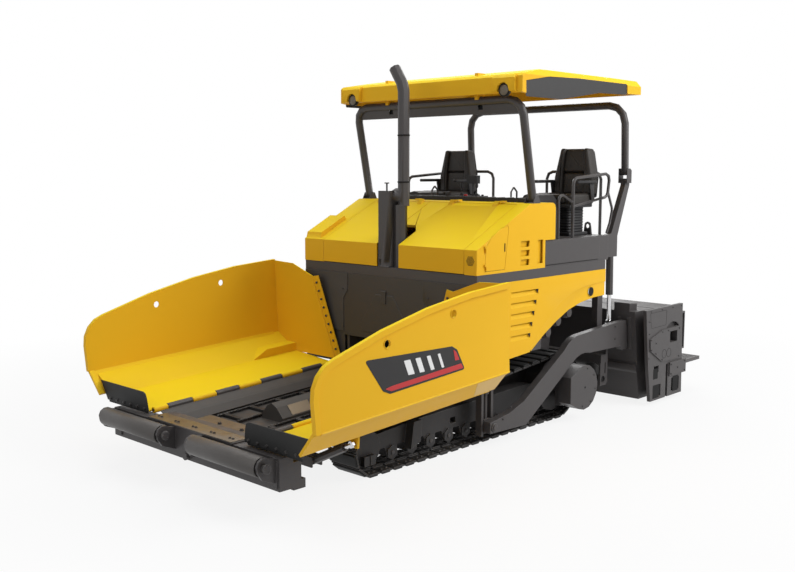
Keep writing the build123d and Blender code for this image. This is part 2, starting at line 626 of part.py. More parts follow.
def bulkhead():
    """Wall between hopper and engine, open below where the conveyors pass, with its hatch."""
    half = BODY_HALF - 5
    wall = cross([(-half, BELT_Z[0]), (half, BELT_Z[0]), (half, 660), (WALL_Y[1] + 25, 660), (WALL_Y[1] + 25, 960),
                  (-WALL_Y[1] - 25, 960), (-WALL_Y[1] - 25, 660), (-half, 660)], (BULK_X - BULK_T, BULK_X))
    hatch = [(-320, 1030), (-344, 1105), (-120, 1427), (120, 1427), (344, 1105), (320, 1030)]
    wall += cross(hatch, (BULK_X, BULK_X + 6))
    wall += block((BULK_X, BULK_X + 18), (-34, 30), (1340, 1470))
    for s in (-1, 1):
        y = (533, 595)
        ramp = [(s * y[0], BELT_Z[0]), (s * y[0], 1440), (s * y[1], 1350), (s * y[1], 1000), (s * half, 1000),
                (s * half, BELT_Z[0])]
        wall += cross(ramp, (BULK_X, BULK_X + 8))
    return wall


def arch_edge():
    """The side panel's arched lower edge over the track, from the rear."""
    return [(-4590, 1479), (-4360, 1471), (-3730, 1329, -4040, 1436), (-3220, 910, -3470, 1150)]


def side_panel():
    """Louvred side panel with the arched, turned-in edge over the track."""
    y = (BODY_HALF - SHEET, BODY_HALF)
    face = [(-2410, BELT_Z[0]), (-4590, BELT_Z[0])] + arch_edge() + [(-3220, 887), (-2410, 830)]
    panel = side(face, y)
    raised = [(p[0], p[1] + 14) + tuple(c + d for c, d in zip(p[2:], (0, 14))) for p in arch_edge()]
    lip = side(raised + [(-3250, 892), (-3910, 1242, -3560, 1083), (-4370, 1324, -4100, 1289),
                         (-4590, 1332)], (y[0] - LIP_W, y[0] + 2))
    lip -= bar_across(-4306, 1395, (y[0] - 2 * LIP_W, y[0] + 2), 40)
    for i in range(5):
        z = 1511 - 108 * i
        panel -= block((-3345 + 31 * i, -2900), (y[0] - 5, y[1] + 5), (z - 50, z))
        panel += side([(-3350 + 31 * i, z - 56), (-3350 + 31 * i, z - 8), (-2895, z - 48), (-2895, z - 56)],
                      (y[0] - 18, y[0]))
    return panel + lip


def engine():
    return block((-3500, -2550), (-420, 420), (1000, 1590))


def deck():
    """Belt under the hood and the operator deck behind it, open below, with the lifting eyes."""
    x = (BELT_REAR_X, BULK_X)
    rim = 60
    belt = block(x, (-BODY_HALF, BODY_HALF), BELT_Z) \
        - block((x[0] + rim, x[1] - rim), (-BODY_HALF + rim, BODY_HALF - rim), (BELT_Z[0] - 5, BELT_Z[1] + 5))
    half = BODY_HALF - 10
    box = (DECK_REAR_X, HOOD_STEP[0] - SEAM)
    shell = block(box, (-half, half), (BELT_Z[1], DECK_Z)) \
        - block((box[0] + SHEET, box[1] - SHEET), (-half + SHEET, half - SHEET), (BELT_Z[1] - 5, DECK_Z - SHEET))
    shell += block((-4457, box[1]), (-BODY_HALF, BODY_HALF), (1739, DECK_Z - SHEET)) \
        - block((-4470, box[1] + 5), (-half, half), (1730, DECK_Z))
    x, z = EYE
    for s in (-1, 1):
        lug = [(s * (EYE_Y - 50), DECK_Z - 5), (s * (EYE_Y - 38), z), (s * (EYE_Y + 38), z, s * EYE_Y, z + 48),
               (s * (EYE_Y + 50), DECK_Z - 5)]
        shell += cross(lug, (x - EYE_T / 2, x + EYE_T / 2))
        shell -= rod((x - EYE_T, s * EYE_Y, z), (x + EYE_T, s * EYE_Y, z), EYE_R)
    return belt + shell


def exhaust():
    """Exhaust tower in the gap between the lids, with the stack and its turned-out mouth."""
    front = HOOD_FRONT_X
    tower = block((-2540, front), (-75, 70), (HOOD_Z[0], 2480))
    for y in (-68, 36):
        tower -= block((front - 10, front + 5), (y, y + 34), (1730, 1790))
    tower += bar((-2450, -38, 2480), (-2450, -38, 2550), 9, 6) + bar((-2450, -38, 2550), (-2450, -38, 2562), 24, 8)
    tower += bar((-2480, 125, HOOD_Z[0]), (-2480, 125, 2340), 66, 8)
    tower += bar_across(-2500, 2430, (40, 165), 76, 8)
    outer = tube([(-2500, 147, 2330), (-2500, 147, 3500), (-2500, 24, 3690)], 58, 130, 8, 3)
    mouth = tube([(-2500, 147, 3300), (-2500, 147, 3500), (-2500, 20, 3697)], 49, 130, 8, 3)
    return tower + outer - mouth


def grille():
    """Long grille behind the hood's top: a row of upright fins in a frame."""
    y, z = (200 - BODY_HALF, BODY_HALF - 190), (HOOD_Z[2], 2405)
    body = block((-3560, -3400), y, z)
    slots, edge = 16, 45
    pitch = (y[1] - y[0] - 2 * edge) / slots
    for i in range(slots):
        body -= block((-3570, -3415), (y[0] + edge + i * pitch, y[0] + edge + i * pitch + 0.75 * pitch),
                      (z[0] + 15, z[1] + 5))
    return body


# ---------------------------------------------------------------- canopy
def lug_pair(half):
    """Inner faces of the two lugs beside a hoop's foot, outwards from the centre line."""
    return half - HOOP_R - 14, half + HOOP_R + 6


def foot_bracket():
    """Pair of lugs on the hood's top for the front hoop's pivot, on the left."""
    (x, z), low = FOOT, HOOD_Z[2]
    shape = [(x - 60, low), (x - 26, z + 26), (x + 26, z + 26), (x + 60, low)]
    inner, outer = lug_pair(FRONT_HALF)
    lugs = side(shape, (inner, inner + 8)) + side(shape, (outer, outer + 8))
    lugs += block((x - 60, x + 60), (inner, outer + 8), (low, low + 5))
    return lugs + bar_across(x, z, (inner, outer + 8), HOOP_PIN_R)


def hoop(foot, top, half, bend):
    """Bent tube hoop with bored eyes at its feet."""
    body = tube([spot(foot, half), spot(top, half), spot(top, -half), spot(foot, -half)], HOOP_R, bend, HOOP_SIDES, 3)
    for s in (-1, 1):
        body += bar_across(*foot, pair(s, half - HOOP_R, half + HOOP_R), 34)
    body -= across(*foot, (half - 70, half + 70), HOOP_PIN_R + FIT)
    return body - bar_across(*foot, (-half - 70, 70 - half), flat_bore(HOOP_PIN_R))


def spot(point, y):
    """(X, Z) and Y as an (X, Y, Z) point."""
    return point[0], y, point[1]


def front_hoop():
    """Front hoop: two leaning posts and the bar across, turning on pins at its feet."""
    return hoop(FOOT, HOOP_TOP, FRONT_HALF, 160)


def visor():
    """Flat panel that fills the front hoop below its bar, cut away round the roof's saddles."""
    (fx, fz), (x, z) = FOOT, HOOP_TOP
    lean = (x - fx) / (z - fz)
    at = lambda h: x - lean * (z - h)
    low, high = 3240, z - HOOP_R + 6
    y = FRONT_HALF - HOOP_R + 6
    plate = side([(at(low) - 4, low), (at(high) - 4, high), (at(high) + 4, high), (at(low) + 4, low)], (-y, y))
    for s in (-1, 1):
        plate -= block((x - 90, x + 50), pair(s, SADDLE_Y[0] - 10, SADDLE_Y[1] + 10), (z - 85, z))
    return plate - front_hoop()


def rear_hoop():
    """Rear hoop, turning on the knees of the rear legs."""
    return hoop(KNEE, REAR_TOP, REAR_HALF, 200)


def rear_leg():
    """Leg from the deck's rear edge up to the rear hoop's pivot; it also carries the lift cylinder."""
    (kx, kz), half = KNEE, REAR_HALF
    y = (half - 30, half + 30)
    leg = side([(DECK_REAR_X, 1730), (DECK_REAR_X, 1960), (-4790, 1990), (kx + 38, 2520), (kx + 38, 2590),
                (kx - 52, 2590), (kx - 52, 2520), (-4920, 1960), (-4920, 1730)], y)
    foot = block((-4650, DECK_REAR_X), (half - 120, BODY_HALF - 12), (1730, 1970))
    inner, outer = lug_pair(half)
    knee = [(kx - 50, 2540), (kx - 50, kz + 20), (kx - 20, kz + 42), (kx + 45, kz + 42), (kx + 45, 2540)]
    leg += side(knee, (inner, inner + 8)) + side(knee, (outer, outer + 8))
    leg += block((kx - 50, kx + 45), (inner, outer + 8), (2540, 2590))
    leg += bar_across(kx, kz, (inner, outer + 8), HOOP_PIN_R)
    bracket = block((-5010, -4900), (LIFT_Y + 50, y[0]), (1740, 1900))
    bracket += bar_across(*LIFT_TOP, (LIFT_Y - 40, y[0]), LIFT_PIN_R)
    post = block((-4790, -4690), (half - 135, half - 60), (900, 1740)) \
        - block((-4778, -4702), (half - 145, half - 72), (912, 1728))
    post += block((-4790, DECK_REAR_X), (half - 135, y[0]), (1700, 1740))
    return leg + foot + bracket + post


def roof():
    """Hollow canopy: arched crown, inset sides, corner pods with arched lamp recesses in front."""
    x0, x1 = ROOF_X
    t, half, face = ROOF_WALL, ROOF_HALF, ROOF_X[0] - POD_PROUD
    top = [(face, 3575), (face - 30, 3600), (-3420, 3672), (-4300, 3738), (-4890, 3735), (x1 + 30, 3692),
           (x1, 3672), (x1, 3506)]
    low = [(-4350, 3500), (-3980, 3460), (-3617, 3398), (-3025, 3412), (face, 3422)]
    crown = [(-half, 3380), (-half, 3590), (-half + 60, 3655), (-950, 3700), (-400, 3735), (400, 3735),
             (950, 3700), (half - 60, 3655), (half, 3590), (half, 3380)]
    inner = [(-half + t, 3300), (-half + t, 3570), (-half + 90, 3622), (-900, 3662), (900, 3662),
             (half - 90, 3622), (half - t, 3570), (half - t, 3300)]
    hollow = [(face - t, 3300), (face - t, 3562), (-3420, 3640), (-4300, 3706), (-4880, 3703), (x1 + SHEET, 3655),
              (x1 + SHEET, 3300)]
    shell = side(top + low, (-half, half)) & cross(crown, (x1, face))
    shell -= side(hollow, (-half + t, half - t)) & cross(inner, (x1, face))
    inset = [(-3020, 3531), (-3400, 3590), (-3900, 3608), (-4855, 3608), (-4861, 3490), (-4308, 3480),
             (-3617, 3380), (-3025, 3380)]
    x, z = HOOP_TOP
    saddle = [(x - 58, 3640), (x - 58, z - 40), (x - 30, z - 58), (x + 30, z - 58), (x + 58, z - 40), (x + 58, 3640)]
    for s in (-1, 1):
        pod = [(face - 60, 3424), (x0 - 6, 3432), (x0, 3445), (x0, 3560), (x0 - 25, 3586), (face - 60, 3600)]
        shell += side(pod, pair(s, LAMP_Y - 128, LAMP_Y + 142))
        arch = [(s * (LAMP_Y - LAMP_R), 3400), (s * (LAMP_Y - LAMP_R), LAMP_Z),
                (s * (LAMP_Y + LAMP_R), LAMP_Z, s * LAMP_Y, LAMP_Z + LAMP_R), (s * (LAMP_Y + LAMP_R), 3400)]
        shell -= cross(arch, (face - 25, x0 + 5))
        shell -= side(inset, pair(s, half - 10, half + 5))
        shell += (side(saddle, pair(s, *SADDLE_Y)) & cross(crown, (x1, face)))
        bore = pair(s, SADDLE_Y[0] - 5, SADDLE_Y[1] + 5)
        shell -= across(x, z, bore, HOOP_R + 3 * FIT) if s > 0 else bar_across(x, z, bore, flat_bore(HOOP_R, HOOP_SIDES), HOOP_SIDES)
    return shell


def roof_lamp():
    """Round lamp in the left pod's recess."""
    x = ROOF_X[0] - POD_PROUD - 25
    bowl = bar((x, LAMP_Y, LAMP_Z), (x + 22, LAMP_Y, LAMP_Z), LAMP_R - 14, 12)
    return bowl + bar((x + 22, LAMP_Y, LAMP_Z), (x + 34, LAMP_Y, LAMP_Z), LAMP_R - 22, 12)


# ---------------------------------------------------------------- deck fittings
def seat():
    """Seat on its bellows, turned forward, on the left: shaped back, pan and two control arms."""
    y, x = SEAT_Y, SEAT_X
    base = block((x - 130, x + 140), (y - 150, y + 150), (DECK_Z, DECK_Z + 60))
    for i in range(2):
        low = DECK_Z + 60 + i * 132
        for grow, a, b in ((0, 0, 66), (18, 66, 132)):
            base += block((x - 100 - grow, x + 110 + grow), (y - 110 - grow, y + 110 + grow), (low + a, low + b))
    pan = side([(x - 230, 2305), (x - 230, 2440), (x - 130, 2415), (x + 200, 2440), (x + 240, 2410),
                (x + 230, 2330), (x + 170, 2305)], (y - 235, y + 235))
    lean = side([(x - 130, 2380), (x - 205, 2905), (x - 220, 2925), (x - 270, 2925), (x - 285, 2890),
                 (x - 270, 2380)], (y - 240, y + 240))
    front = cross([(y - 240, 2380), (y - 240, 2560), (y - 215, 2640), (y - 170, 2925), (y + 170, 2925),
                   (y + 215, 2640), (y + 240, 2560), (y + 240, 2380)], (x - 330, x - 30))
    shape = base + pan + (lean & front)
    arm = [(x + 200, 2578), (x + 190, 2560), (x + 40, 2535), (x + 20, 2470), (x - 50, 2360), (x - 190, 2360),
           (x - 190, 2578)]
    for a in (-290, 232):
        shape += side(arm, (y + a, y + a + 58))
    return shape


def console():
    """Control desk across the front of the deck: two dashboards, centre box and a display on a stalk."""
    x = (-3900, HOOD_REAR_X - SEAM)
    desk = block(x, (140 - BODY_HALF, BODY_HALF - 140), (DECK_Z, 2270))
    for s in (-1, 1):
        y = s * (SEAT_Y - 20)
        dash = [(y - 125, 2270), (y - 120, 2370), (y - 75, 2425), (y, 2444), (y + 75, 2425), (y + 120, 2370),
                (y + 125, 2270)]
        desk += cross(dash, (-4010, -3700))
        desk += cross([(y - 90, DECK_Z), (y - 90, 2300), (y + 90, 2300), (y + 90, DECK_Z)], (-4000, x[0]))
    desk += block((-3960, -3760), (-300, 60), (2270, 2400))
    desk += bar((-3880, -90, 2400), (-3880, -90, 2540), 10, 6)
    return desk + block((-3905, -3850), (-160, -10), (2535, 2625))


def guard_rail():
    """Hand rails beside and behind the left seat: a side loop, its foot rails and the rear hoop."""
    y, r, thin = RAIL_Y, RAIL_R, RAIL_R - 3
    rails = tube([(-3980, y, DECK_Z), (-3980, y, 2600), (-4680, y, RAIL_TOP - r), (-4640, y, 2400), (-4500, y, 2381)],
                 r, 60)
    rails += bar((-4510, y, 2382), (-3985, y, 2310), thin, 4)
    rails += tube([(-3985, y, 2345), (-3720, y, 2465), (-3720, y, DECK_Z)], thin, 60)
    rails += tube([(-4650, y, 2450), (-4745, y, 2260), (-4700, y, 2110), (-4640, y, DECK_Z + 20)], thin, 50)
    inner, outer = SEAT_Y - 455, SEAT_Y + 252
    back = tube([(-4622, inner, DECK_Z), (-4622, inner, RAIL_TOP), (-4622, outer, RAIL_TOP), (-4622, outer, DECK_Z)],
                r, 80)
    y = SEAT_Y - 280
    grip = tube([(-3720, y, 2270), (-3720, y, 2490), (-3820, y, 2500), (-3820, y, 2270)], 12, 40, 4, 1)
    return rails, back, grip


# ---------------------------------------------------------------- tow arms and screed
def tow_arm_blank():
    """Left tow arm before its bore: low at the tow pin, up over the track, level to the screed, with its end shoe."""
    x = TOW[0]
    arm = side([(x + 60, 150), (x + 60, 260), (-2957, 300), (-3200, 380), (-3900, 800), (-4150, 930, -4010, 885),
                (-5000, 985), (SCREED_FRONT[0] + 8, 985), (-5164, 850), (-5174, 690), (-5155, 655, -5170, 662),
                (-5075, 650), (-5020, 700), (-4400, 710), (-4130, 690, -4260, 722), (-3720, 430), (-3240, 130)],
               (ARM_Y - ARM_W / 2, ARM_Y + ARM_W / 2))
    return arm


def tow_arms():
    """Both tow arms, bored for the tow pins."""
    left, right = both(tow_arm_blank())
    right -= bar_across(*TOW, (-ARM_Y - 100, 100 - ARM_Y), flat_bore(TOW_PIN_R))
    return left - across(*TOW, (ARM_Y - 100, ARM_Y + 100), TOW_PIN_R + FIT), right


def tow_carriage():
    """Block that slides in the left guide and carries the tow pin, with the levelling rod above it."""
    inner = ARM_Y - ARM_W / 2
    pin = bar_across(*TOW, (inner - 60, inner + ARM_W + 20), TOW_PIN_R)
    slide = block((TOW[0] - 50, TOW[0] + 50), (inner - 64, inner - 6), (TOW[1] - 70, TOW[1] + 70))
    return pin + slide + bar((TOW[0], inner - 35, TOW[1] + 60), (TOW[0], inner - 35, 620), 20)


def tow_guide():
    """Upright channel for the tow carriage, hung from the tank, with the levelling cylinder's barrel."""
    inner, x = ARM_Y - ARM_W / 2, TOW[0]
    y, z = (inner - 64, inner - 8), (110, 850)
    guide = block((x - 90, x + 90), (inner - 80, y[0] - 6), z)
    for a, b in ((-90, -58), (58, 90)):
        guide += block((x + a, x + b), (inner - 80, y[1]), z)
    guide += block((x - 90, x + 90), y, (z[1] - 14, z[1]))
    barrel = bar((x, inner - 35, 520), (x, inner - 35, z[1] - 14), 34)
    return guide + barrel - bar((x, inner - 35, 500), (x, inner - 35, z[1] - 20), 22)


def screed_face(z):
    """Station of the screed's sloping front at a height."""
    (top_x, low_x), (low, high) = SCREED_FRONT, SCREED_Z
    return top_x + (low_x - top_x) * (high - z) / (high - low)


def screed():
    """Main screed: sloping front plate with the stepped moldboard, top, ends and bottom plate."""
    back, (low, high) = SCREED_BACK_X, SCREED_Z
    t, half = 20, SCREED_HALF
    f = screed_face
    body = side([(f(low), low), (f(high), high), (back, high), (back, low)], (-half, half))
    body -= side([(f(low) - t, low + t), (f(high) - t, high - t), (back - 5, high - t), (back - 5, low + t)],
                 (-half + t, half - t))
    body += side([(f(480), 480), (f(480) + 35, 465), (f(400) + 35, 400), (f(370) + 12, 370), (f(low), low),
                  (f(low) - 10, low), (f(480) - 10, 480)], (-half, half))
    body += block((f(high) - 2, back), (-half, half), (high, high + 8))
    for s in (-1, 1):
        clamp = [(f(640) - 5, 640), (f(640) + 18, 660), (f(1000) + 18, 1000), (f(1030) - 5, 1030)]
        for a, b in ((-78, -46), (46, 78)):
            body += side(clamp, pair(s, ARM_Y + a, ARM_Y + b))
        body += side([(-5310, high), (-5310, high + 85), (-5150, high + 100), (-5150, high)],
                     pair(s, ARM_Y - 130, ARM_Y + 70))
    return body


def end_gate():
    """Left end gate: sloping plate with arch, two lower windows and the slot between its halves."""
    low, rear = 50, EXT_X[1] - 30
    gate = side([(-5283, low), (-5211, 479), (-5139, 1116), (rear, 1122), (rear - 28, low)], GATE_Y)
    cut = (GATE_Y[0] - 5, GATE_Y[1] + 5)
    gate -= side([(-5620, 865), (-5620, 880), (-5905, 880, -5762, 930), (-5905, 865)], cut)
    for x, z in (((-5455, -5345), (372, 450)), ((-5515, -5350), (88, 226)), ((-5950, -5765), (100, 256))):
        gate -= block(x, cut, z)
    return gate - block((-5672, -5628), cut, (low - 5, 440))


def extension():
    """Left screed extension with its end gate, hexagonal mounting plate, rear channel and walkway."""
    low, high = SCREED_Z
    y = (20, GATE_Y[0])
    body = block((EXT_X[1], EXT_X[0]), y, (low, high)) \
        - block((EXT_X[1] + 20, EXT_X[0] - 20), (40, GATE_Y[0] - 20), (low + 30, high + 5))
    body += block((EXT_X[1], EXT_X[0]), y, (high - 8, high + 8)) + end_gate()
    body += bar_across(EXT_X[1] + 4, high - 10, y, 24, 8)
    hexagon = [(-5237, 646), (-5228, 780), (-5500, 859), (-5925, 862), (-5934, 478), (-5498, 490)]
    plate = side(hexagon, (GATE_Y[1], GATE_Y[1] + 14)) - block((-5848, -5680), (GATE_Y[1] - 5, GATE_Y[1] + 20), (690, 820))
    body += plate
    body -= block((-5848, -5680), (GATE_Y[0] - 25, GATE_Y[1] + 5), (690, 820))
    body += block((-6080, -5690), (GATE_Y[1], GATE_Y[1] + 18), (290, 452))
    channel = block((-6130, EXT_X[1]), (GATE_Y[0] - 90, GATE_Y[0]), (560, 1010))
    channel -= block((-6110, EXT_X[1] - 40), (GATE_Y[0] - 70, GATE_Y[0] + 5), (580, 990))
    walk = block((SCREED_REAR_X, EXT_X[1]), (20, GATE_Y[1]), (385, 425))
    for y in (150, GATE_Y[0] / 2 + 40, GATE_Y[0] - 70):
        walk += side([(EXT_X[1], 385), (EXT_X[1], 250), (SCREED_REAR_X + 120, 385)], (y, y + 16))
    return body + channel + walk


def flight(y, turns, start):
    """Screw blade round the auger's shaft: a thin strip wound with flat facets, drawn along Y."""
    steps, thick, inner, outer = int(turns * FLIGHT_SIDES), 12, AUGER_SHAFT_R - 12, AUGER_R
    rings = []
    for i in range(steps + 1):
        t, shift = start + 2 * pi * i / FLIGHT_SIDES, y + AUGER_PITCH * i / FLIGHT_SIDES
        for r, side_y in ((inner, 0), (outer, 0), (outer, thick), (inner, thick)):
            rings.append(Vector(AUGER_X + r * cos(t), shift + side_y, AUGER_Z + r * sin(t)))
    faces = [(0, 1, 2, 3), tuple(4 * steps + k for k in (3, 2, 1, 0))]
    for i in range(steps):
        for k in range(4):
            a, b = 4 * i + k, 4 * i + (k + 1) % 4
            faces += [(a, b, b + 4), (a, b + 4, a + 4)]
    return Solid(Shell([Face(Wire.make_polygon([rings[i] for i in f])) for f in faces]))


def auger():
    """Left auger: shaft with its screw blade."""
    shaft = bar_across(AUGER_X, AUGER_Z, AUGER_Y, AUGER_SHAFT_R)
    shaft -= across(AUGER_X, AUGER_Z, (AUGER_Y[1] - 12, AUGER_Y[1] + 5), CENTRE_R)
    return shaft + flight(AUGER_Y[0] + 70, 2.5, 0)


def auger_frame():
    """Beam with the middle gear case and the outer hangers of the augers."""
    x, z = AUGER_X, AUGER_Z
    end = AUGER_Y[1] + 16
    frame = block((x - 50, x + 50), (-end, end), (z + 190, z + 280))
    frame += block((x - 80, x + 80), (-105, 105), (z - 110, z + 200))
    for s in (-1, 1):
        hanger = [(x - 90, z - 40), (x - 90, z + 400), (x + 60, z + 400), (x + 60, z + 370), (x - 50, z + 370),
                  (x - 50, z + 60), (x + 60, z + 60), (x + 60, z - 70), (x - 60, z - 70)]
        frame += side(hanger, pair(s, end - 30, end))
        frame += side([(x - 30, z + 190), (x - 30, z + 60), (x + 60, z + 60), (x + 60, z + 190)], pair(s, end - 20, end))
        frame -= bar_across(x, z, pair(s, 60, end + 5), flat_bore(AUGER_SHAFT_R))
    return frame


def lift_axis():
    """Top pivot, eye and direction of the left lift cylinder."""
    top, eye = Vector(*spot(LIFT_TOP, LIFT_Y)), Vector(*spot(LIFT_EYE, LIFT_Y))
    return top, eye, (eye - top).normalized()


def lift_barrel():
    """Barrel of the left lift cylinder, bored for its pin."""
    top, _, way = lift_axis()
    barrel = bar(top + way * 24, top + way * 545, 42) - bar(top + way * 60, top + way * 550, 27)
    barrel += bar_across(*LIFT_TOP, (LIFT_Y - 30, LIFT_Y + 30), 42)
    return barrel - across(*LIFT_TOP, (LIFT_Y - 35, LIFT_Y + 35), LIFT_PIN_R + FIT)


def lift_rod():
    """Rod of the left lift cylinder; its eye ends beside the tow arm."""
    top, eye, way = lift_axis()
    return bar(top + way * 400, eye, 25) + bar_across(*LIFT_EYE, (LIFT_Y - 28, LIFT_Y + 28), 38)


# ---------------------------------------------------------------- build
SHARED = {                      # both sides in one node
    "hopper_rails": hopper_rail, "track_frames": track_frame, "drive_covers": drive_cover,
    "side_panels": side_panel, "seats": seat, "rear_legs": rear_leg, "tow_guides": tow_guide,
    "tow_carriages": tow_carriage, "hoop_feet": foot_bracket, "roof_lamps": roof_lamp,
}
PAIRS = {                       # one node on each side
    "push_roller": push_roller, "track": track, "wing": wing, "front_flap": front_flap,
    "wing_barrel": wing_barrel, "wing_rod": wing_rod, "hood_door": hood_door,
    "screed_extension": extension, "auger": auger, "lift_barrel": lift_barrel, "lift_rod": lift_rod,
}
SINGLE = {
    "push_beam": push_beam, "main_frame": main_frame, "hood": hood, "bulkhead": bulkhead,
    "engine": engine, "deck": deck, "exhaust": exhaust, "grille": grille, "front_hoop": front_hoop,
    "visor": visor, "rear_hoop": rear_hoop, "roof": roof, "console": console, "screed": screed,
    "auger_frame": auger_frame, "hood_lid_left": left_lid,
}


def main():
    for name, make in SINGLE.items():
        save(name, make())
    save("hood_lid_right", hood_lid(LID_RIGHT, (LID_RIGHT[0] + 59, -240)))
    save("conveyor_floor", *conveyor_floor())
    save("conveyor_chains", *conveyor_chains())
    save("tow_arms", *tow_arms())
    for name, make in SHARED.items():
        save(name, *both(make()))
    save("guard_rails", *[half for rail in guard_rail() for half in both(rail)])
    for name, make in PAIRS.items():
        left = make()
        save(f"{name}_left", left)
        save(f"{name}_right", other(left))


main()
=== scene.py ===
"""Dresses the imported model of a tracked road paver: finishes, fittings, seats, light and camera.

Sizes are in metres. Places are written in the builder's stations: X runs forwards from the push
beam's face, Y to the left, Z up from the ground. Fittings are shifted into the row frame when
their mesh is made; camera, lamps and floor are placed in the row frame itself.
"""

import logging
import math
from dataclasses import dataclass, field
from enum import Enum
from typing import Any, Callable, Iterable, Sequence

import bmesh
import bpy
import numpy as np
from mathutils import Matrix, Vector

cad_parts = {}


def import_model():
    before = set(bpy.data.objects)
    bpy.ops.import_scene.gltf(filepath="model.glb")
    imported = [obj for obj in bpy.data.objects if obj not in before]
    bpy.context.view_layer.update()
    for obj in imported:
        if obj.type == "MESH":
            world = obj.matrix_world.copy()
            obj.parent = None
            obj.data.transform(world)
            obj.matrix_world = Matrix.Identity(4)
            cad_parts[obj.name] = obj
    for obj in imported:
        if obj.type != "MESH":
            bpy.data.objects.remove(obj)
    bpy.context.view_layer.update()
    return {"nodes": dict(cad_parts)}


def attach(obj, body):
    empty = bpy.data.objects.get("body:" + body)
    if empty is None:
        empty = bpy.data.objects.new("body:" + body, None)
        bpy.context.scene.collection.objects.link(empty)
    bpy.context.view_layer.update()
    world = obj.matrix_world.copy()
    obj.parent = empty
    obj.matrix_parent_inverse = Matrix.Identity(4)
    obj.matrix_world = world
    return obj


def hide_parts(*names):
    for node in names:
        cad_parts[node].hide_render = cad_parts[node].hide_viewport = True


LOG = logging.getLogger("paver")
FACE = 3.130                    # the push beam's face, ahead of the row frame's origin
HOPPER_RISE = math.radians(3.1)  # the hopper's hinge lines climb to the rear
HINGE_Z = 0.520

Pair = tuple[float, float]
Triple = tuple[float, float, float]


# ------------------------------------------------------------------ mesh arrays
@dataclass
class Shape:
    """Points and faces of a mesh, kept as whole arrays."""

    points: np.ndarray
    corners: np.ndarray
    sizes: np.ndarray

    @classmethod
    def join(cls, shapes: Iterable["Shape"]) -> "Shape":
        """One shape that holds all the given ones.

        Args:
            shapes: the shapes to join.

        Returns:
            The joined shape, its faces renumbered.
        """
        parts = list(shapes)
        starts = np.cumsum([0] + [len(s.points) for s in parts[:-1]])
        return cls(np.concatenate([s.points for s in parts]),
                   np.concatenate([s.corners + k for s, k in zip(parts, starts)]),
                   np.concatenate([s.sizes for s in parts]))

    def __add__(self, more: "Shape") -> "Shape":
        """Both shapes as one."""
        return Shape.join([self, more])

    def moved(self, x: float = 0.0, y: float = 0.0, z: float = 0.0) -> "Shape":
        """The shape, moved."""
        return Shape(self.points + (x, y, z), self.corners, self.sizes)

    def mirrored(self) -> "Shape":
        """The shape on the machine's other side; reversed faces keep pointing outwards."""
        return Shape(self.points * (1, -1, 1), self.corners[::-1], self.sizes[::-1])

    def both(self) -> "Shape":
        """The shape and its mirror image."""
        return self + self.mirrored()

    def turned(self, axis: int, angle: float, about: Triple = (0, 0, 0)) -> "Shape":
        """The shape, turned by the right-hand rule.

        Args:
            axis: 0, 1 or 2 for X, Y or Z.
            angle: in radians.
            about: a point on the axis.

        Returns:
            The turned shape.
        """
        c, s = math.cos(angle), math.sin(angle)
        turn = np.roll(np.array([[1, 0, 0], [0, c, -s], [0, s, c]]), (axis, axis), (0, 1))
        return Shape((self.points - about) @ turn.T + about, self.corners, self.sizes)

    def repeated(self, places: np.ndarray) -> "Shape":
        """A copy at each place.

        Args:
            places: (n, 3) offsets.

        Returns:
            All copies as one shape.
        """
        places = np.asarray(places, float).reshape(-1, 3)
        n, count = len(places), len(self.points)
        points = (places[:, None] + self.points[None]).reshape(-1, 3)
        corners = (np.arange(n)[:, None] * count + self.corners[None]).ravel()
        return Shape(points, corners, np.tile(self.sizes, n))

    def aimed(self, places: np.ndarray, along: Triple) -> "Shape":
        """A copy at each place, its own Z turned to point along a direction.

        Args:
            places: (n, 3) points.
            along: the direction of the shape's Z.

        Returns:
            All copies as one shape.
        """
        z = np.asarray(along, float) / np.linalg.norm(along)
        x = np.cross(z, (0, 0, 1) if abs(z[2]) < 0.9 else (1, 0, 0))
        x /= np.linalg.norm(x)
        turn = np.stack([x, np.cross(z, x), z])
        return Shape(self.points @ turn, self.corners, self.sizes).repeated(places)


def woven(points: np.ndarray, wrap_rows: bool = False, wrap_columns: bool = False, capped: bool = False) -> Shape:
    """Quads between neighbouring rows and columns of a grid of points.

    Args:
        points: (rows, columns, 3).
        wrap_rows: the last row joins the first.
        wrap_columns: the last column joins the first.
        capped: the first and last rows are closed by one face each.

    Returns:
        The surface.
    """
    rows, columns = points.shape[:2]
    index = np.arange(rows * columns).reshape(rows, columns)
    ends = [index[0][::-1], index[-1]]
    if wrap_rows:
        index = np.vstack([index, index[:1]])
    if wrap_columns:
        index = np.hstack([index, index[:, :1]])
    quads = np.stack([index[:-1, :-1], index[:-1, 1:], index[1:, 1:], index[1:, :-1]], -1).reshape(-1, 4)
    corners, sizes = quads.ravel(), np.full(len(quads), 4)
    if capped:
        corners = np.concatenate([corners, *ends])
        sizes = np.concatenate([sizes, [columns, columns]])
    return Shape(points.reshape(-1, 3), corners, sizes)


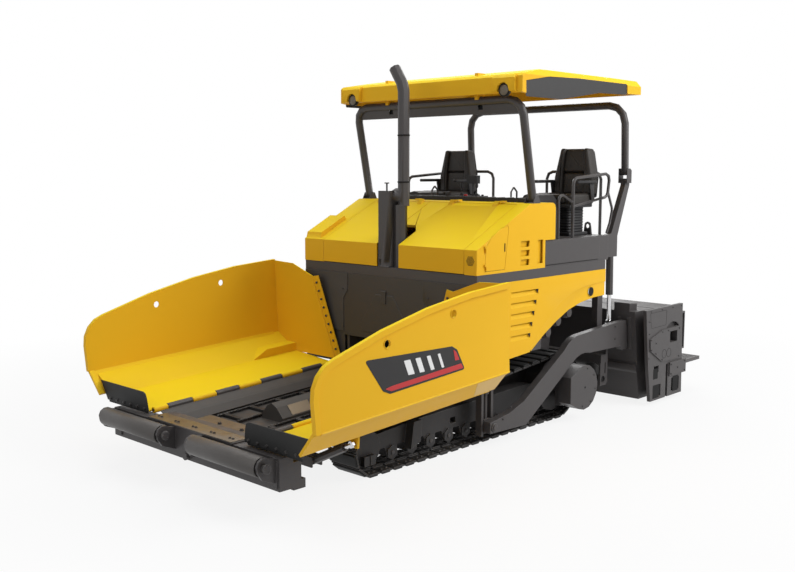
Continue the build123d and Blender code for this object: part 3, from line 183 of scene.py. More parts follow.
def rounded(points: Sequence[Sequence[float]], radius: float | Sequence[float], steps: int = 4,
            closed: bool = True) -> np.ndarray:
    """A line of straight runs with an arc at each corner.

    Each corner becomes a quadratic blend: the point at share t is (1-t)^2 a + 2t(1-t) corner + t^2 b,
    where a and b lie on the two runs, as far from the corner as the arc's tangent is long.

    Args:
        points: the corners, in 2-D or 3-D.
        radius: of the arcs, one for all or one for each corner; 0 keeps a corner sharp.
        steps: runs in each arc.
        closed: the line comes back to its start.

    Returns:
        The points of the rounded line.
    """
    p = np.asarray(points, float)
    radii = np.broadcast_to(np.asarray(radius, float), (len(p),))
    before, after = np.roll(p, 1, 0) - p, np.roll(p, -1, 0) - p
    reach_a, reach_b = np.linalg.norm(before, axis=1), np.linalg.norm(after, axis=1)
    a, b = before / np.maximum(reach_a, 1e-9)[:, None], after / np.maximum(reach_b, 1e-9)[:, None]
    half = np.arccos(np.clip((a * b).sum(1), -1, 1)) / 2
    cut = np.minimum(radii / np.maximum(np.tan(half), 1e-3), 0.49 * np.minimum(reach_a, reach_b))
    t = np.linspace(0, 1, steps + 1)[:, None]
    out = []
    for i, corner in enumerate(p):
        if cut[i] < 1e-6 or (not closed and i in (0, len(p) - 1)):
            out.append(corner[None])
        else:
            start, end = corner + a[i] * cut[i], corner + b[i] * cut[i]
            out.append((1 - t) ** 2 * start + 2 * t * (1 - t) * corner + t ** 2 * end)
    return np.concatenate(out)


def rectangle(u: Pair, v: Pair, radius: float = 0.0, steps: int = 3) -> np.ndarray:
    """Outline of a rectangle with rounded corners."""
    return rounded([(u[0], v[0]), (u[1], v[0]), (u[1], v[1]), (u[0], v[1])], radius, steps)


def circle(sides: int) -> np.ndarray:
    """(sides, 2) cosines and sines of evenly spaced angles."""
    t = np.arange(sides) * 2 * math.pi / sides
    return np.stack([np.cos(t), np.sin(t)], 1)


def disc(u: float, v: float, radius: float, sides: int) -> np.ndarray:
    """Outline of a circle about (u, v)."""
    return (u, v) + radius * circle(sides)


def inset(outline: np.ndarray, depth: float) -> np.ndarray:
    """The outline moved inwards: each corner goes along the mitre of its two edges' normals.

    Args:
        outline: (n, 2) corners.
        depth: how far the edges move.

    Returns:
        The new corners.
    """
    edge = np.roll(outline, -1, 0) - outline
    normal = np.stack([-edge[:, 1], edge[:, 0]], 1) / np.maximum(np.linalg.norm(edge, axis=1), 1e-9)[:, None]
    area = np.cross(outline, np.roll(outline, -1, 0)).sum()
    before = np.roll(normal, 1, 0)
    mitre = (normal + before) / np.maximum(1 + (normal * before).sum(1), 0.4)[:, None]
    return outline + mitre * depth * (1 if area > 0 else -1)


def raised(outline: np.ndarray, level: float, axis: str) -> np.ndarray:
    """Points (u, v) of an outline at a level: (Y, Z) for axis x, (X, Z) for y and (X, Y) for z.

    Args:
        outline: (n, 2) corners.
        level: their place along the axis.
        axis: "x", "y" or "z".

    Returns:
        (n, 3) points.
    """
    fill = np.full(len(outline), level)
    order = {"x": (fill, outline[:, 0], outline[:, 1]), "y": (outline[:, 0], fill, outline[:, 1]),
             "z": (outline[:, 0], outline[:, 1], fill)}
    return np.stack(order[axis], 1)


def slab(outline: np.ndarray, low: float, high: float, axis: str = "z", ease: float = 0.003, steps: int = 2) -> Shape:
    """An outline drawn through from low to high, its two rims rounded.

    At share t of a quarter turn the outline is inset by ease (1 - sin t) and stands ease (1 - cos t)
    in from the end face.

    Args:
        outline: (n, 2) corners.
        low: where it starts.
        high: where it ends.
        axis: the direction it is drawn in.
        ease: radius of the rims; 0 leaves them sharp, in one row each.
        steps: rows in each rim.

    Returns:
        The closed solid.
    """
    t = np.linspace(0, math.pi / 2, steps + 1)[0 if ease > 0 else -1:]
    depth, step_in = ease * (1 - np.sin(t)), ease * (1 - np.cos(t))
    rows = [raised(inset(outline, d), low + s, axis) for d, s in zip(depth, step_in)]
    rows += [raised(inset(outline, d), high - s, axis) for d, s in zip(depth[::-1], step_in[::-1])]
    return woven(np.stack(rows), wrap_columns=True, capped=True)


def brick(x: Pair, y: Pair, z: Pair, ease: float = 0.004, radius: float = 0.0) -> Shape:
    """Box with eased edges, and with rounded upright corners where a radius is given."""
    return slab(rectangle(x, y, max(radius, ease), 2), min(z), max(z), "z", ease)


def lathe(profile: Sequence[Pair], base: Triple, along: Triple, sides: int = 24) -> Shape:
    """A profile turned about an axis.

    The point of row i at angle a is base + height_i along + radius_i (cos a, sin a) across.

    Args:
        profile: (radius, height) pairs from the base outwards.
        base: start of the axis.
        along: direction of the axis.
        sides: facets round the axis.

    Returns:
        The closed solid.
    """
    p = np.asarray(profile, float)
    heights = np.broadcast_to(p[:, None, 1:], (len(p), sides, 1))
    points = np.concatenate([p[:, None, :1] * circle(sides)[None], heights], 2)
    return woven(points, wrap_columns=True, capped=True).aimed([base], along)


def frames(path: np.ndarray) -> tuple[np.ndarray, np.ndarray]:
    """Two directions across a path at each point, carried along it without twist.

    Args:
        path: (n, 3) points.

    Returns:
        (n, 3) directions to the side, and (n, 3) upwards.
    """
    ahead = np.gradient(path, axis=0)
    ahead /= np.linalg.norm(ahead, axis=1)[:, None]
    side = np.zeros_like(path)
    first = np.cross(ahead[0], (0, 0, 1) if abs(ahead[0][2]) < 0.9 else (1, 0, 0))
    for i, forward in enumerate(ahead):
        first = first - forward * (first @ forward)
        first = first / np.linalg.norm(first)
        side[i] = first
    return side, np.cross(ahead, side)


def swept(path: np.ndarray, section: np.ndarray) -> Shape:
    """A closed section carried along a path: point (i, j) is path_i + u_j side_i + v_j up_i.

    Args:
        path: (n, 3) points.
        section: (m, 2) outline.

    Returns:
        The closed solid.
    """
    side, up = frames(path)
    points = path[:, None] + section[None, :, :1] * side[:, None] + section[None, :, 1:] * up[:, None]
    return woven(points, wrap_columns=True, capped=True)


def pipe(corners: Sequence[Triple], radius: float, bend: float = 0.06, sides: int = 14, steps: int = 7) -> Shape:
    """Round tube along straight runs with bends between them."""
    return swept(rounded(corners, bend, steps, closed=False), disc(0, 0, radius, sides))


def bolt(size: float) -> Shape:
    """Hexagon head on a washer, its foot at the origin.

    Args:
        size: width across the corners.

    Returns:
        The bolt, pointing along Z.
    """
    r = size / 2
    washer = lathe([(r * 1.28, 0), (r * 1.28, r * 0.2), (r * 1.2, r * 0.26)], (0, 0, 0), (0, 0, 1), 12)
    head = lathe([(r, r * 0.2), (r, r * 0.85), (r * 0.8, r)], (0, 0, 0), (0, 0, 1), 6)
    return washer + head


def spread(x: Any, y: Any, z: Any) -> np.ndarray:
    """(n, 3) places from one number or row of numbers for each axis."""
    return np.stack(np.broadcast_arrays(x, y, z), -1).reshape(-1, 3).astype(float)


def sheet_of(corners: np.ndarray, lift: Sequence[float]) -> Shape:
    """Thin closed plate between four corners and the same corners lifted."""
    return woven(np.stack([corners, corners + np.asarray(lift)]), wrap_columns=True, capped=True)


def rim(form: Sequence[Pair], centre: Triple, axis: str, sides: int) -> Shape:
    """A small closed section carried round a centre.

    The point of row i at angle a stands radius_i (cos a, sin a) across the axis and height_i along it.

    Args:
        form: (radius, height) pairs of the section.
        centre: of the ring.
        axis: "x" or "y", the direction of the heights.
        sides: facets round the ring.

    Returns:
        The ring.
    """
    p, ring = np.asarray(form, float), circle(sides).T
    across, up, along = p[:, :1] * ring[0], p[:, :1] * ring[1], p[:, 1:] + 0 * ring[0]
    first, second = (along, across) if axis == "x" else (across, along)
    return woven(np.stack([first, second, up], -1) + np.asarray(centre), wrap_rows=True, wrap_columns=True)


def hairline(outline: np.ndarray, level: float, wide: float = 0.004) -> Shape:
    """Thin flat band along an outline on a side face: a ring of four rows about the outline.

    Args:
        outline: (n, 2) corners in X and Z.
        level: Y of its outer side.
        wide: width of the band.

    Returns:
        The band.
    """
    inner = inset(outline, wide)
    rows = [raised(outline, level - 0.0006, "y"), raised(outline, level, "y"), raised(inner, level, "y"),
            raised(inner, level - 0.0006, "y")]
    return woven(np.stack(rows), wrap_rows=True, wrap_columns=True)


def tipped(shape: Shape) -> Shape:
    """A shape drawn level about the hopper's hinge line at Z = 0, tipped to the line's rise."""
    return shape.turned(1, HOPPER_RISE).moved(z=HINGE_Z)


# ------------------------------------------------------------------ shader sockets
def operator(operation: str, swapped: bool = False) -> Callable[["Value", Any], "Value"]:
    """A method that takes a value and another term into one Math node, in turn or swapped."""
    return lambda self, other: self.math(operation, *((other, self) if swapped else (self, other)))


class Value:
    """A shader socket that arithmetic works on: each operation adds one Math node."""

    def __init__(self, net: "Network", socket: bpy.types.NodeSocket) -> None:
        """Wraps a socket of the network."""
        self.net, self.socket = net, socket

    def math(self, operation: str, *terms: Any, clamp: bool = False) -> "Value":
        """The result of a Math node over the terms."""
        settings = {"operation": operation, "use_clamp": clamp}
        return self.net.add("Math", settings, dict(enumerate(terms))).out(0)

    __add__, __sub__, __mul__ = operator("ADD"), operator("SUBTRACT"), operator("MULTIPLY")
    __truediv__, __pow__, __rsub__ = operator("DIVIDE"), operator("POWER"), operator("SUBTRACT", True)

    def clipped(self) -> "Value":
        """The value, kept between 0 and 1."""
        return self.math("ADD", self, 0.0, clamp=True)

    def above(self, low: float, high: float) -> "Value":
        """0 below low, 1 above high, and a straight ramp between."""
        return ((self - low) / (high - low)).clipped()


class Added:
    """A node in a network, with its outputs as values."""

    def __init__(self, net: "Network", node: bpy.types.Node) -> None:
        """Wraps a node of the network."""
        self.net, self.node = net, node

    def out(self, key: int | str) -> Value:
        """One of the node's outputs."""
        return Value(self.net, self.node.outputs[key])


class Network:
    """The node tree of one material or world."""

    def __init__(self, owner: bpy.types.Material | bpy.types.World) -> None:
        """Empties the owner's tree.

        Args:
            owner: the material or world that the tree belongs to.
        """
        owner.use_nodes = True
        self.tree = owner.node_tree
        self.tree.nodes.clear()

    def add(self, kind: str, settings: dict[str, Any] | None = None, inputs: dict[Any, Any] | None = None) -> Added:
        """Adds one node.

        Args:
            kind: the node's type, after "ShaderNode".
            settings: its own settings, set before its sockets.
            inputs: values or links of its sockets, by name or number.

        Returns:
            The node.
        """
        node = self.tree.nodes.new(f"ShaderNode{kind}")
        for key, value in (settings or {}).items():
            setattr(node, key, value)
        for key, value in (inputs or {}).items():
            if isinstance(value, Value):
                self.tree.links.new(value.socket, node.inputs[key])
            else:
                node.inputs[key].default_value = value
        return Added(self, node)

    def blend(self, share: Value | float, first: Any, second: Any) -> Value:
        """Mix of two colours.

        Args:
            share: how much of the second.
            first: a colour or a socket.
            second: a colour or a socket.

        Returns:
            The mixed colour.
        """
        colours = [(*c, 1.0) if isinstance(c, tuple) and len(c) == 3 else c for c in (first, second)]
        mix = self.add("Mix", {"data_type": "RGBA"}, {0: share, 6: colours[0], 7: colours[1]})
        return mix.out(2)

    def noise(self, scale: float, detail: float) -> Value:
        """Noise on the piece's own coordinates."""
        place = self.add("TexCoord").out("Object")
        return self.add("TexNoise", None, {"Vector": place, "Scale": scale, "Detail": detail}).out(0)

    def seen(self) -> Value:
        """1 for what the camera sees by itself, through glass or in a reflection, and 0 for other light."""
        path = self.add("LightPath")
        return (path.out("Is Camera Ray") + path.out("Is Glossy Ray") + path.out("Is Transmission Ray")).clipped()

    def finish(self, shader: Value, kind: str = "OutputMaterial") -> None:
        """Joins the shader to an output."""
        self.add(kind, None, {"Surface": shader})


class Texture(Enum):
    """What covers a finish at close range."""

    PEEL = "sprayed paint"
    CAST = "cast or forged skin"
    HIDE = "grained cover"
    MOULDED = "moulded plastic"
    SMOOTH = "machined"


@dataclass(frozen=True)
class Finish:
    """A finish for one kind of surface.

    The colour drifts slowly over the piece. Edges take the edge colour, which is partly wear and partly a painted
    highlight along the edges. What faces up takes on the top colour: in patches it is a dusting; spread evenly, as
    far as the share "even" says, it is a painted top light that makes lit tops lighter.
    """

    name: str
    slot: str
    colour: Triple
    rough: float = 0.4
    metal: float = 0.0
    coat: float = 0.0
    texture: Texture = Texture.PEEL
    drift: float = 0.06
    # Edge colour and share: partly wear, partly a painted highlight. Top colour and share: a dusting in patches, and
    # a painted top light where "even" spreads them evenly.
    worn: Triple = (0.20, 0.19, 0.18)
    wear: float = 0.10
    dust_and_top_light: float = 0.08
    dust_and_top_light_colour: Triple = (0.34, 0.31, 0.27)
    edge: float = 0.004
    even: float = 0.0
    shine: float = 0.28

    def _height(self, net: Network) -> tuple[Value, float, float]:
        """Relief of the close-range texture.

        Args:
            net: the material's network.

        Returns:
            Height, depth in metres and strength of the bump.
        """
        if self.texture is Texture.PEEL:
            return net.noise(420.0, 1.0), 0.0004, 0.25
        if self.texture is Texture.CAST:
            return net.noise(140.0, 4.0) + net.noise(38.0, 2.0) * 0.6, 0.0014, 0.6
        if self.texture is Texture.HIDE:
            place = net.add("TexCoord").out("Object")
            cell = net.add("TexVoronoi", {"feature": "DISTANCE_TO_EDGE"}, {"Vector": place, "Scale": 330.0})
            return cell.out(0).above(0.0, 0.16), 0.0006, 0.55
        if self.texture is Texture.MOULDED:
            return net.noise(900.0, 2.0), 0.0003, 0.4
        return net.noise(60.0, 3.0), 0.0001, 0.15

    def shader(self, net: Network) -> Value:
        """The finish as a shader.

        Args:
            net: the material's network.

        Returns:
            The shader's socket.
        """
        shape = net.add("NewGeometry")
        soft = net.add("Bevel", {"samples": 4}, {"Radius": self.edge}).out(0)
        match = net.add("VectorMath", {"operation": "DOT_PRODUCT"}, {0: soft, 1: shape.out("Normal")})
        edges = (1 - match.out("Value")).above(0.01, 0.16)
        up = net.add("SeparateXYZ", None, {0: shape.out("Normal")}).out(2)
        slow, patch = net.noise(1.7, 3.0), net.noise(9.0, 5.0)
        tone = ((slow - 0.5) * self.drift * 2 + 1).clipped()
        dark = tuple(c * (1 - self.drift) for c in self.colour)
        light = tuple(min(1.0, c * (1 + self.drift)) for c in self.colour)
        colour = net.blend((tone - 0.5).above(0.35, 0.65) * 0.5 + slow * 0.5, dark, light)
        # Edges: partly wear, partly a painted highlight along the edges.
        rubbed = (edges * (patch * 1.8 - 0.3).clipped() * self.wear * 4).clipped()
        colour = net.blend(rubbed, colour, self.worn)
        # Tops: a dusting in patches, and a painted top light where "even" spreads it evenly.
        spread = patch.above(0.38, 0.75) * (1 - self.even) + self.even
        dust_and_top_light_share = (up.above(0.35, 0.98) * spread * self.dust_and_top_light).clipped()
        colour = net.blend(dust_and_top_light_share, colour, self.dust_and_top_light_colour)
        rough = (patch - 0.5) * 0.12 + self.rough + dust_and_top_light_share * 0.3
        height, depth, strength = self._height(net)
        bump = net.add("Bump", None, {"Height": height, "Distance": depth, "Strength": strength,
                                                "Normal": soft})
        shader = net.add("BsdfPrincipled", None, {
            "Base Color": colour, "Roughness": rough.clipped(), "Metallic": self.metal,
            "Specular IOR Level": self.shine, "Coat Weight": self.coat, "Coat Roughness": 0.12,
            "Normal": bump.out(0)})
        return shader.out(0)


@dataclass(frozen=True)
class Lens:
    """Lamp cover set deep in its recess, tinted dark brown as a painted shade of the yellow recess behind it."""

    name: str = "lamp_lens"
    slot: str = "lamp_glass"
    # Painted shade: the brown of the yellow recess in shadow.
    colour: Triple = (0.115, 0.085, 0.045)

    def shader(self, net: Network) -> Value:
        """The finish as a shader.

        Args:
            net: the material's network.

        Returns:
            The shader's socket.
        """
        place = net.add("TexCoord").out("Object")
        ribs = net.add("TexWave", {"bands_direction": "Y"}, {"Vector": place, "Scale": 22.0}).out(1)
        bump = net.add("Bump", None, {"Height": ribs, "Distance": 0.002, "Strength": 0.5})
        painted_shade_tint = net.blend(ribs, tuple(c * 0.8 for c in self.colour), self.colour)
        shader = net.add("BsdfPrincipled", None, {
            "Base Color": painted_shade_tint, "Roughness": 0.30, "Metallic": 0.0, "Coat Weight": 0.15,
            "Coat Roughness": 0.02, "Normal": bump.out(0)})
        return shader.out(0)


def material_of(finish: Finish | Lens) -> bpy.types.Material:
    """The finish as a material, made once.

    Args:
        finish: what the material shows.

    Returns:
        The material.
    """
    name = f"finish_{finish.name}"
    if name not in bpy.data.materials:
        net = Network(bpy.data.materials.new(name))
        net.finish(finish.shader(net))
    return bpy.data.materials[name]


# On the yellow paint, the lemon top colour spread evenly over what faces up is a painted top light (lit tops lighter
# and more lemon), and the lighter yellow edge colour is a painted highlight.
PAINT = Finish("yellow_paint", "yellow_paint", (0.80, 0.450, 0.018), 0.44, worn=(0.86, 0.62, 0.16),
               wear=0.08, dust_and_top_light=0.75, dust_and_top_light_colour=(0.85, 0.67, 0.010), drift=0.025, even=0.9, shine=0.12)
FRAME = Finish("frame_paint", "dark_paint", (0.062, 0.057, 0.057), 0.45, coat=0.06, wear=0.14, dust_and_top_light=0.25,
               dust_and_top_light_colour=(0.17, 0.16, 0.15))
SHADE = Finish("wall_paint", "dark_paint", (0.052, 0.047, 0.043), 0.48, wear=0.10, dust_and_top_light=0.18,
               dust_and_top_light_colour=(0.13, 0.12, 0.10))
BRONZE = Finish("rubbed_steel", "dark_paint", (0.165, 0.130, 0.088), 0.38, metal=0.55, texture=Texture.CAST,
                worn=(0.36, 0.31, 0.25), wear=0.3, dust_and_top_light=0.1, drift=0.16)
TREAD = Finish("track_steel", "track_steel", (0.038, 0.036, 0.036), 0.5, metal=0.25, texture=Texture.CAST,
               worn=(0.20, 0.19, 0.18), wear=0.35, dust_and_top_light=0.35, dust_and_top_light_colour=(0.12, 0.11, 0.10), drift=0.12)
DARK_STEEL = Finish("chain_steel", "track_steel", (0.028, 0.027, 0.027), 0.45, metal=0.5, texture=Texture.CAST,
                    worn=(0.25, 0.24, 0.23), wear=0.4, dust_and_top_light=0.2, dust_and_top_light_colour=(0.10, 0.09, 0.08), drift=0.15)
BOLTS = Finish("bolt_steel", "dark_paint", (0.055, 0.052, 0.052), 0.4, metal=0.5, texture=Texture.SMOOTH, edge=0.001)
RUBBER = Finish("rubber", "rubber", (0.018, 0.018, 0.018), 0.62, texture=Texture.MOULDED, worn=(0.05, 0.05, 0.05),
                dust_and_top_light=0.15, dust_and_top_light_colour=(0.07, 0.07, 0.065))
CHROME = Finish("chrome", "chrome", (0.66, 0.66, 0.67), 0.16, metal=1.0, texture=Texture.SMOOTH, drift=0.02,
                wear=0.0, dust_and_top_light=0.02)
LEATHER = Finish("seat_cover", "seat_cover", (0.030, 0.026, 0.023), 0.46, texture=Texture.HIDE,
                 worn=(0.07, 0.06, 0.05), wear=0.06, dust_and_top_light=0.06, dust_and_top_light_colour=(0.08, 0.07, 0.06), edge=0.006)
PLASTIC = Finish("black_plastic", "black_plastic", (0.026, 0.025, 0.026), 0.5, texture=Texture.MOULDED,
                 worn=(0.08, 0.08, 0.08), wear=0.05, dust_and_top_light=0.12, dust_and_top_light_colour=(0.09, 0.085, 0.08))
# Also painted shade: black discs, dots, patches and plates that stand for holes, openings and slots.
BLACK = Finish("void_black", "black_plastic", (0.006, 0.006, 0.006), 0.8, texture=Texture.MOULDED, dust_and_top_light=0.0, wear=0.0)
RED = Finish("signal_red", "signal_red", (0.50, 0.020, 0.022), 0.35, coat=0.3, worn=(0.6, 0.1, 0.08), dust_and_top_light=0.02)
WHITE = Finish("badge_white", "badge_white", (0.78, 0.78, 0.78), 0.35, coat=0.3, dust_and_top_light=0.02)
ROLLER = Finish("roller_steel", "dark_paint", (0.084, 0.078, 0.074), 0.45, metal=0.2, texture=Texture.CAST, wear=0.2,
                dust_and_top_light=0.1, drift=0.1)
PANEL = Finish("outer_panel_paint", "dark_paint", (0.030, 0.029, 0.029), 0.45, wear=0.08, dust_and_top_light=0.12,
               dust_and_top_light_colour=(0.13, 0.12, 0.12))
TAN = Finish("skirt_wear", "yellow_paint", (0.70, 0.46, 0.14), 0.45, wear=0.2, dust_and_top_light=0.1, dust_and_top_light_colour=(0.70, 0.55, 0.20))
LENS = Lens()


# ------------------------------------------------------------------ pieces
def linked(name: str, data: Any) -> bpy.types.Object:
    """A new object in the scene.

    Args:
        name: of the object.
        data: its mesh, camera or lamp.

    Returns:
        The object.
    """
    made = bpy.data.objects.new(name, data)
    bpy.context.scene.collection.objects.link(made)
    return made


def settled(name: str, mesh: bpy.types.Mesh, merge: float, flat: float, sharp: float) -> bpy.types.Object:
    """A new object of a mesh whose double points are merged and whose curves are shaded smooth.

    Args:
        name: the object's name.
        mesh: its mesh.
        merge: points nearer than this become one.
        flat: faces turned by fewer degrees than this become one; 0 leaves them.
        sharp: edges turned by more degrees than this stay sharp.

    Returns:
        The object.
    """
    work = bmesh.new()
    work.from_mesh(mesh)
    bmesh.ops.remove_doubles(work, verts=work.verts, dist=merge)
    if flat > 0:
        bmesh.ops.dissolve_limit(work, angle_limit=math.radians(flat), verts=work.verts, edges=work.edges)
    bmesh.ops.recalc_face_normals(work, faces=work.faces)
    work.to_mesh(mesh)
    work.free()
    mesh.shade_smooth()
    mesh.set_sharp_from_angle(angle=math.radians(sharp))
    return linked(name, mesh)


@dataclass
class Maker:
    """Makes the scene's pieces and counts them."""

    made: int = 0

    def piece(self, name: str, shape: Shape, finish: Finish | Lens, body: str = "chassis",
              sharp: float = 32.0, stands_for: Sequence[str] = ()) -> bpy.types.Object:
        """Turns a shape into a piece that rides on a body.

        Args:
            name: the piece's name.
            shape: its mesh, in the builder's stations.
            finish: what it is finished in.
            body: the body it moves with.
            sharp: edges turned by more degrees than this stay sharp.
            stands_for: CAD nodes that the piece takes the place of.

        Returns:
            The piece.
        """
        mesh = bpy.data.meshes.new(name)
        mesh.vertices.add(len(shape.points))
        mesh.vertices.foreach_set("co", (shape.points + (FACE, 0, 0)).astype(np.float32).ravel())
        mesh.loops.add(len(shape.corners))
        mesh.loops.foreach_set("vertex_index", shape.corners.astype(np.int32))
        mesh.polygons.add(len(shape.sizes))
        mesh.polygons.foreach_set("loop_start", np.concatenate([[0], np.cumsum(shape.sizes)[:-1]]).astype(np.int32))
        mesh.update(calc_edges=True)
        mesh.validate()
        made = settled(name, mesh, 1e-6, 0.0, sharp)
        if stands_for:
            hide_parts(*stands_for)
        return self.dress(made, finish, body)

    def skin(self, node: bpy.types.Object, finish: Finish, body: str, ease: float = 0.003,
             sharp: float = 30.0) -> bpy.types.Object:
        """A merged copy of a CAD node with eased edges and smooth curves, which takes the node's place.

        Args:
            node: the CAD node.
            finish: what it is finished in.
            body: the body it moves with.
            ease: width of the bevel on its edges; 0 leaves them sharp.
            sharp: edges turned by more degrees than this are edges, not curves.

        Returns:
            The copy.
        """
        mesh = node.data.copy()
        mesh.transform(node.matrix_world)
        made = settled(f"{node.name}_skin", mesh, 1e-5, 0.05, sharp)
        if ease > 0:
            bevel = made.modifiers.new("ease", "BEVEL")
            bevel.width, bevel.segments, bevel.limit_method = ease, 2, "ANGLE"
            bevel.angle_limit, bevel.harden_normals = math.radians(sharp), True
        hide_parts(node.name)
        return self.dress(made, finish, body)

    def dress(self, made: bpy.types.Object, finish: Finish | Lens, body: str) -> bpy.types.Object:
        """Gives a new piece its finish and its body.

        Args:
            made: the piece.
            finish: what it is finished in.
            body: the body it moves with.

        Returns:
            The piece.
        """
        made.data.materials.clear()
        made.data.materials.append(material_of(finish))
        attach(made, body)
        self.made += 1
        LOG.info("%s: %d faces, %s, rides on %s", made.name, len(made.data.polygons), finish.name, body)
        return made

    def sides(self, name: str, shape: Shape, finish: Finish | Lens, body: str, sharp: float = 32.0,
              stands_for: str = "") -> None:
        """Makes a left piece and its mirror image on the bodies body_left and body_right.

        Args:
            name: the pieces' name, without the side.
            shape: the left one.
            finish: what they are finished in.
            body: the bodies' name, without the side.
            sharp: edges turned by more degrees than this stay sharp.
            stands_for: name of the CAD nodes they take the place of, without the side.
        """
        for side, form in (("left", shape), ("right", shape.mirrored())):
            nodes = (f"{stands_for}_{side}",) if stands_for else ()
            self.piece(f"{name}_{side}", form, finish, f"{body}_{side}", sharp, nodes)


@dataclass
class Coats:
    """Gives every CAD node its finish."""

    nodes: dict[str, bpy.types.Object]
    finishes: dict[str, Finish] = field(default_factory=lambda: {
        "side_panels": PAINT, "hood": PAINT, "hood_lid": PAINT, "hood_door": PAINT, "wing": PAINT, "roof": PAINT,
        "wing_barrel": FRAME, "wing_rod": CHROME, "lift_rod": CHROME, "front_flap": RUBBER, "track": TREAD,
        "conveyor_chains": DARK_STEEL, "conveyor_floor": SHADE, "bulkhead": SHADE, "engine": SHADE,
        "auger": DARK_STEEL, "seats": LEATHER, "grille": PLASTIC, "console": PLASTIC, "track_frames": TREAD,
        "hopper_rails": SHADE})

    def apply(self) -> None:
        """Assigns the finishes; a node that is not in the table is frame paint."""
        for name, node in self.nodes.items():
            base = name.removesuffix("_left").removesuffix("_right")
            material = material_of(self.finishes.get(base, FRAME))
            node.data.materials.clear()
            node.data.materials.append(material)
            node.data.polygons.foreach_set("material_index", np.zeros(len(node.data.polygons), np.int32))
        LOG.info("%d CAD nodes finished", len(self.nodes))


# ------------------------------------------------------------------ studio
@dataclass
class Studio:
    """Plain pale floor, soft lamps and the camera."""

    eye: Triple = (7.7407, 6.8465, 2.6957)
    heading: float = 133.654
    pitch: float = 6.84
    lens: float = 44.156
    world: float = 0.34
    floor_half: float = 60.0

    def camera(self) -> None:
        """Sets the camera in the row frame."""
        data = bpy.data.cameras.new("camera")
        data.lens, data.sensor_width, data.clip_end = self.lens, 36.0, 300.0
        camera = linked("camera", data)
        camera.location = self.eye
        camera.rotation_euler = (math.radians(90 - self.pitch), 0, math.radians(self.heading))
        bpy.context.scene.camera = camera

    def lamp(self, name: str, place: Triple, aim: Triple, size: float, power: float) -> None:
        """Adds one square soft lamp.

        Args:
            name: of the lamp.
            place: its centre, in the row frame.
            aim: the point it faces.
            size: length of its side.
            power: in watts.
        """
        data = bpy.data.lights.new(name, "AREA")
        data.shape, data.size, data.energy = "SQUARE", size, power
        lamp = linked(name, data)
        lamp.location = place
        lamp.rotation_euler = (Vector(aim) - Vector(place)).to_track_quat("-Z", "Y").to_euler()

    def backdrop(self) -> None:
        """A pale world, white where the camera or a reflection sees it."""
        world = bpy.data.worlds.new("studio")
        net = Network(world)
        glow, white = (net.add("Background", None, {0: colour, 1: strength}).out(0)
                       for colour, strength in (((0.96, 0.98, 1.0, 1), self.world), ((1, 1, 1, 1), 1.0)))
        mix = net.add("MixShader", None, {0: net.seen(), 1: glow, 2: white})
        net.finish(mix.out(0), "OutputWorld")
        bpy.context.scene.world = world

    def floor(self) -> None:
        """A pale floor that keeps the machine's shadow."""
        half = self.floor_half
        outline = rectangle((-half, half), (-half, half))
        mesh = bpy.data.meshes.new("floor")
        mesh.from_pydata(raised(outline, -0.001, "z").tolist(), [], [(0, 1, 2, 3)])
        floor = linked("floor", mesh)
        material = bpy.data.materials.new("studio_floor")
        net = Network(material)
        matt = net.add("BsdfDiffuse", None, {"Color": (0.70, 0.70, 0.70, 1)}).out(0)
        glow = net.add("Emission", None, {"Color": (1, 1, 1, 1), "Strength": 1.0}).out(0)
        place = net.add("SeparateXYZ", None, {0: net.add("TexCoord").out("Object")})
        out = (place.out(0) * place.out(0) + place.out(1) * place.out(1)) ** 0.5
        far = out.above(3.5, 8.0) * 0.14 + 0.86
        lift = net.add("MixShader", None, {0: net.seen() * far, 1: matt, 2: glow})
        net.finish(lift.out(0))
        mesh.materials.append(material)

    def build(self) -> None:
        """Sets up camera, lamps, world and floor."""
        scene = bpy.context.scene
        scene.view_settings.view_transform = "Standard"
        self.camera()
        self.backdrop()
        self.floor()
        centre = (0.0, 0.0, 1.4)
        self.lamp("key", (-4.5, 9.0, 7.5), centre, 6.0, 960.0)
        self.lamp("top", (1.0, -1.0, 11.0), centre, 9.0, 620.0)
        self.lamp("front", (10.0, 1.5, 4.5), centre, 6.0, 110.0)
        self.lamp("back", (-9.0, -7.0, 6.0), centre, 6.0, 400.0)


# ------------------------------------------------------------------ groups of pieces
@dataclass
class Group:
    """A group of pieces; its build method makes them."""

    make: Maker


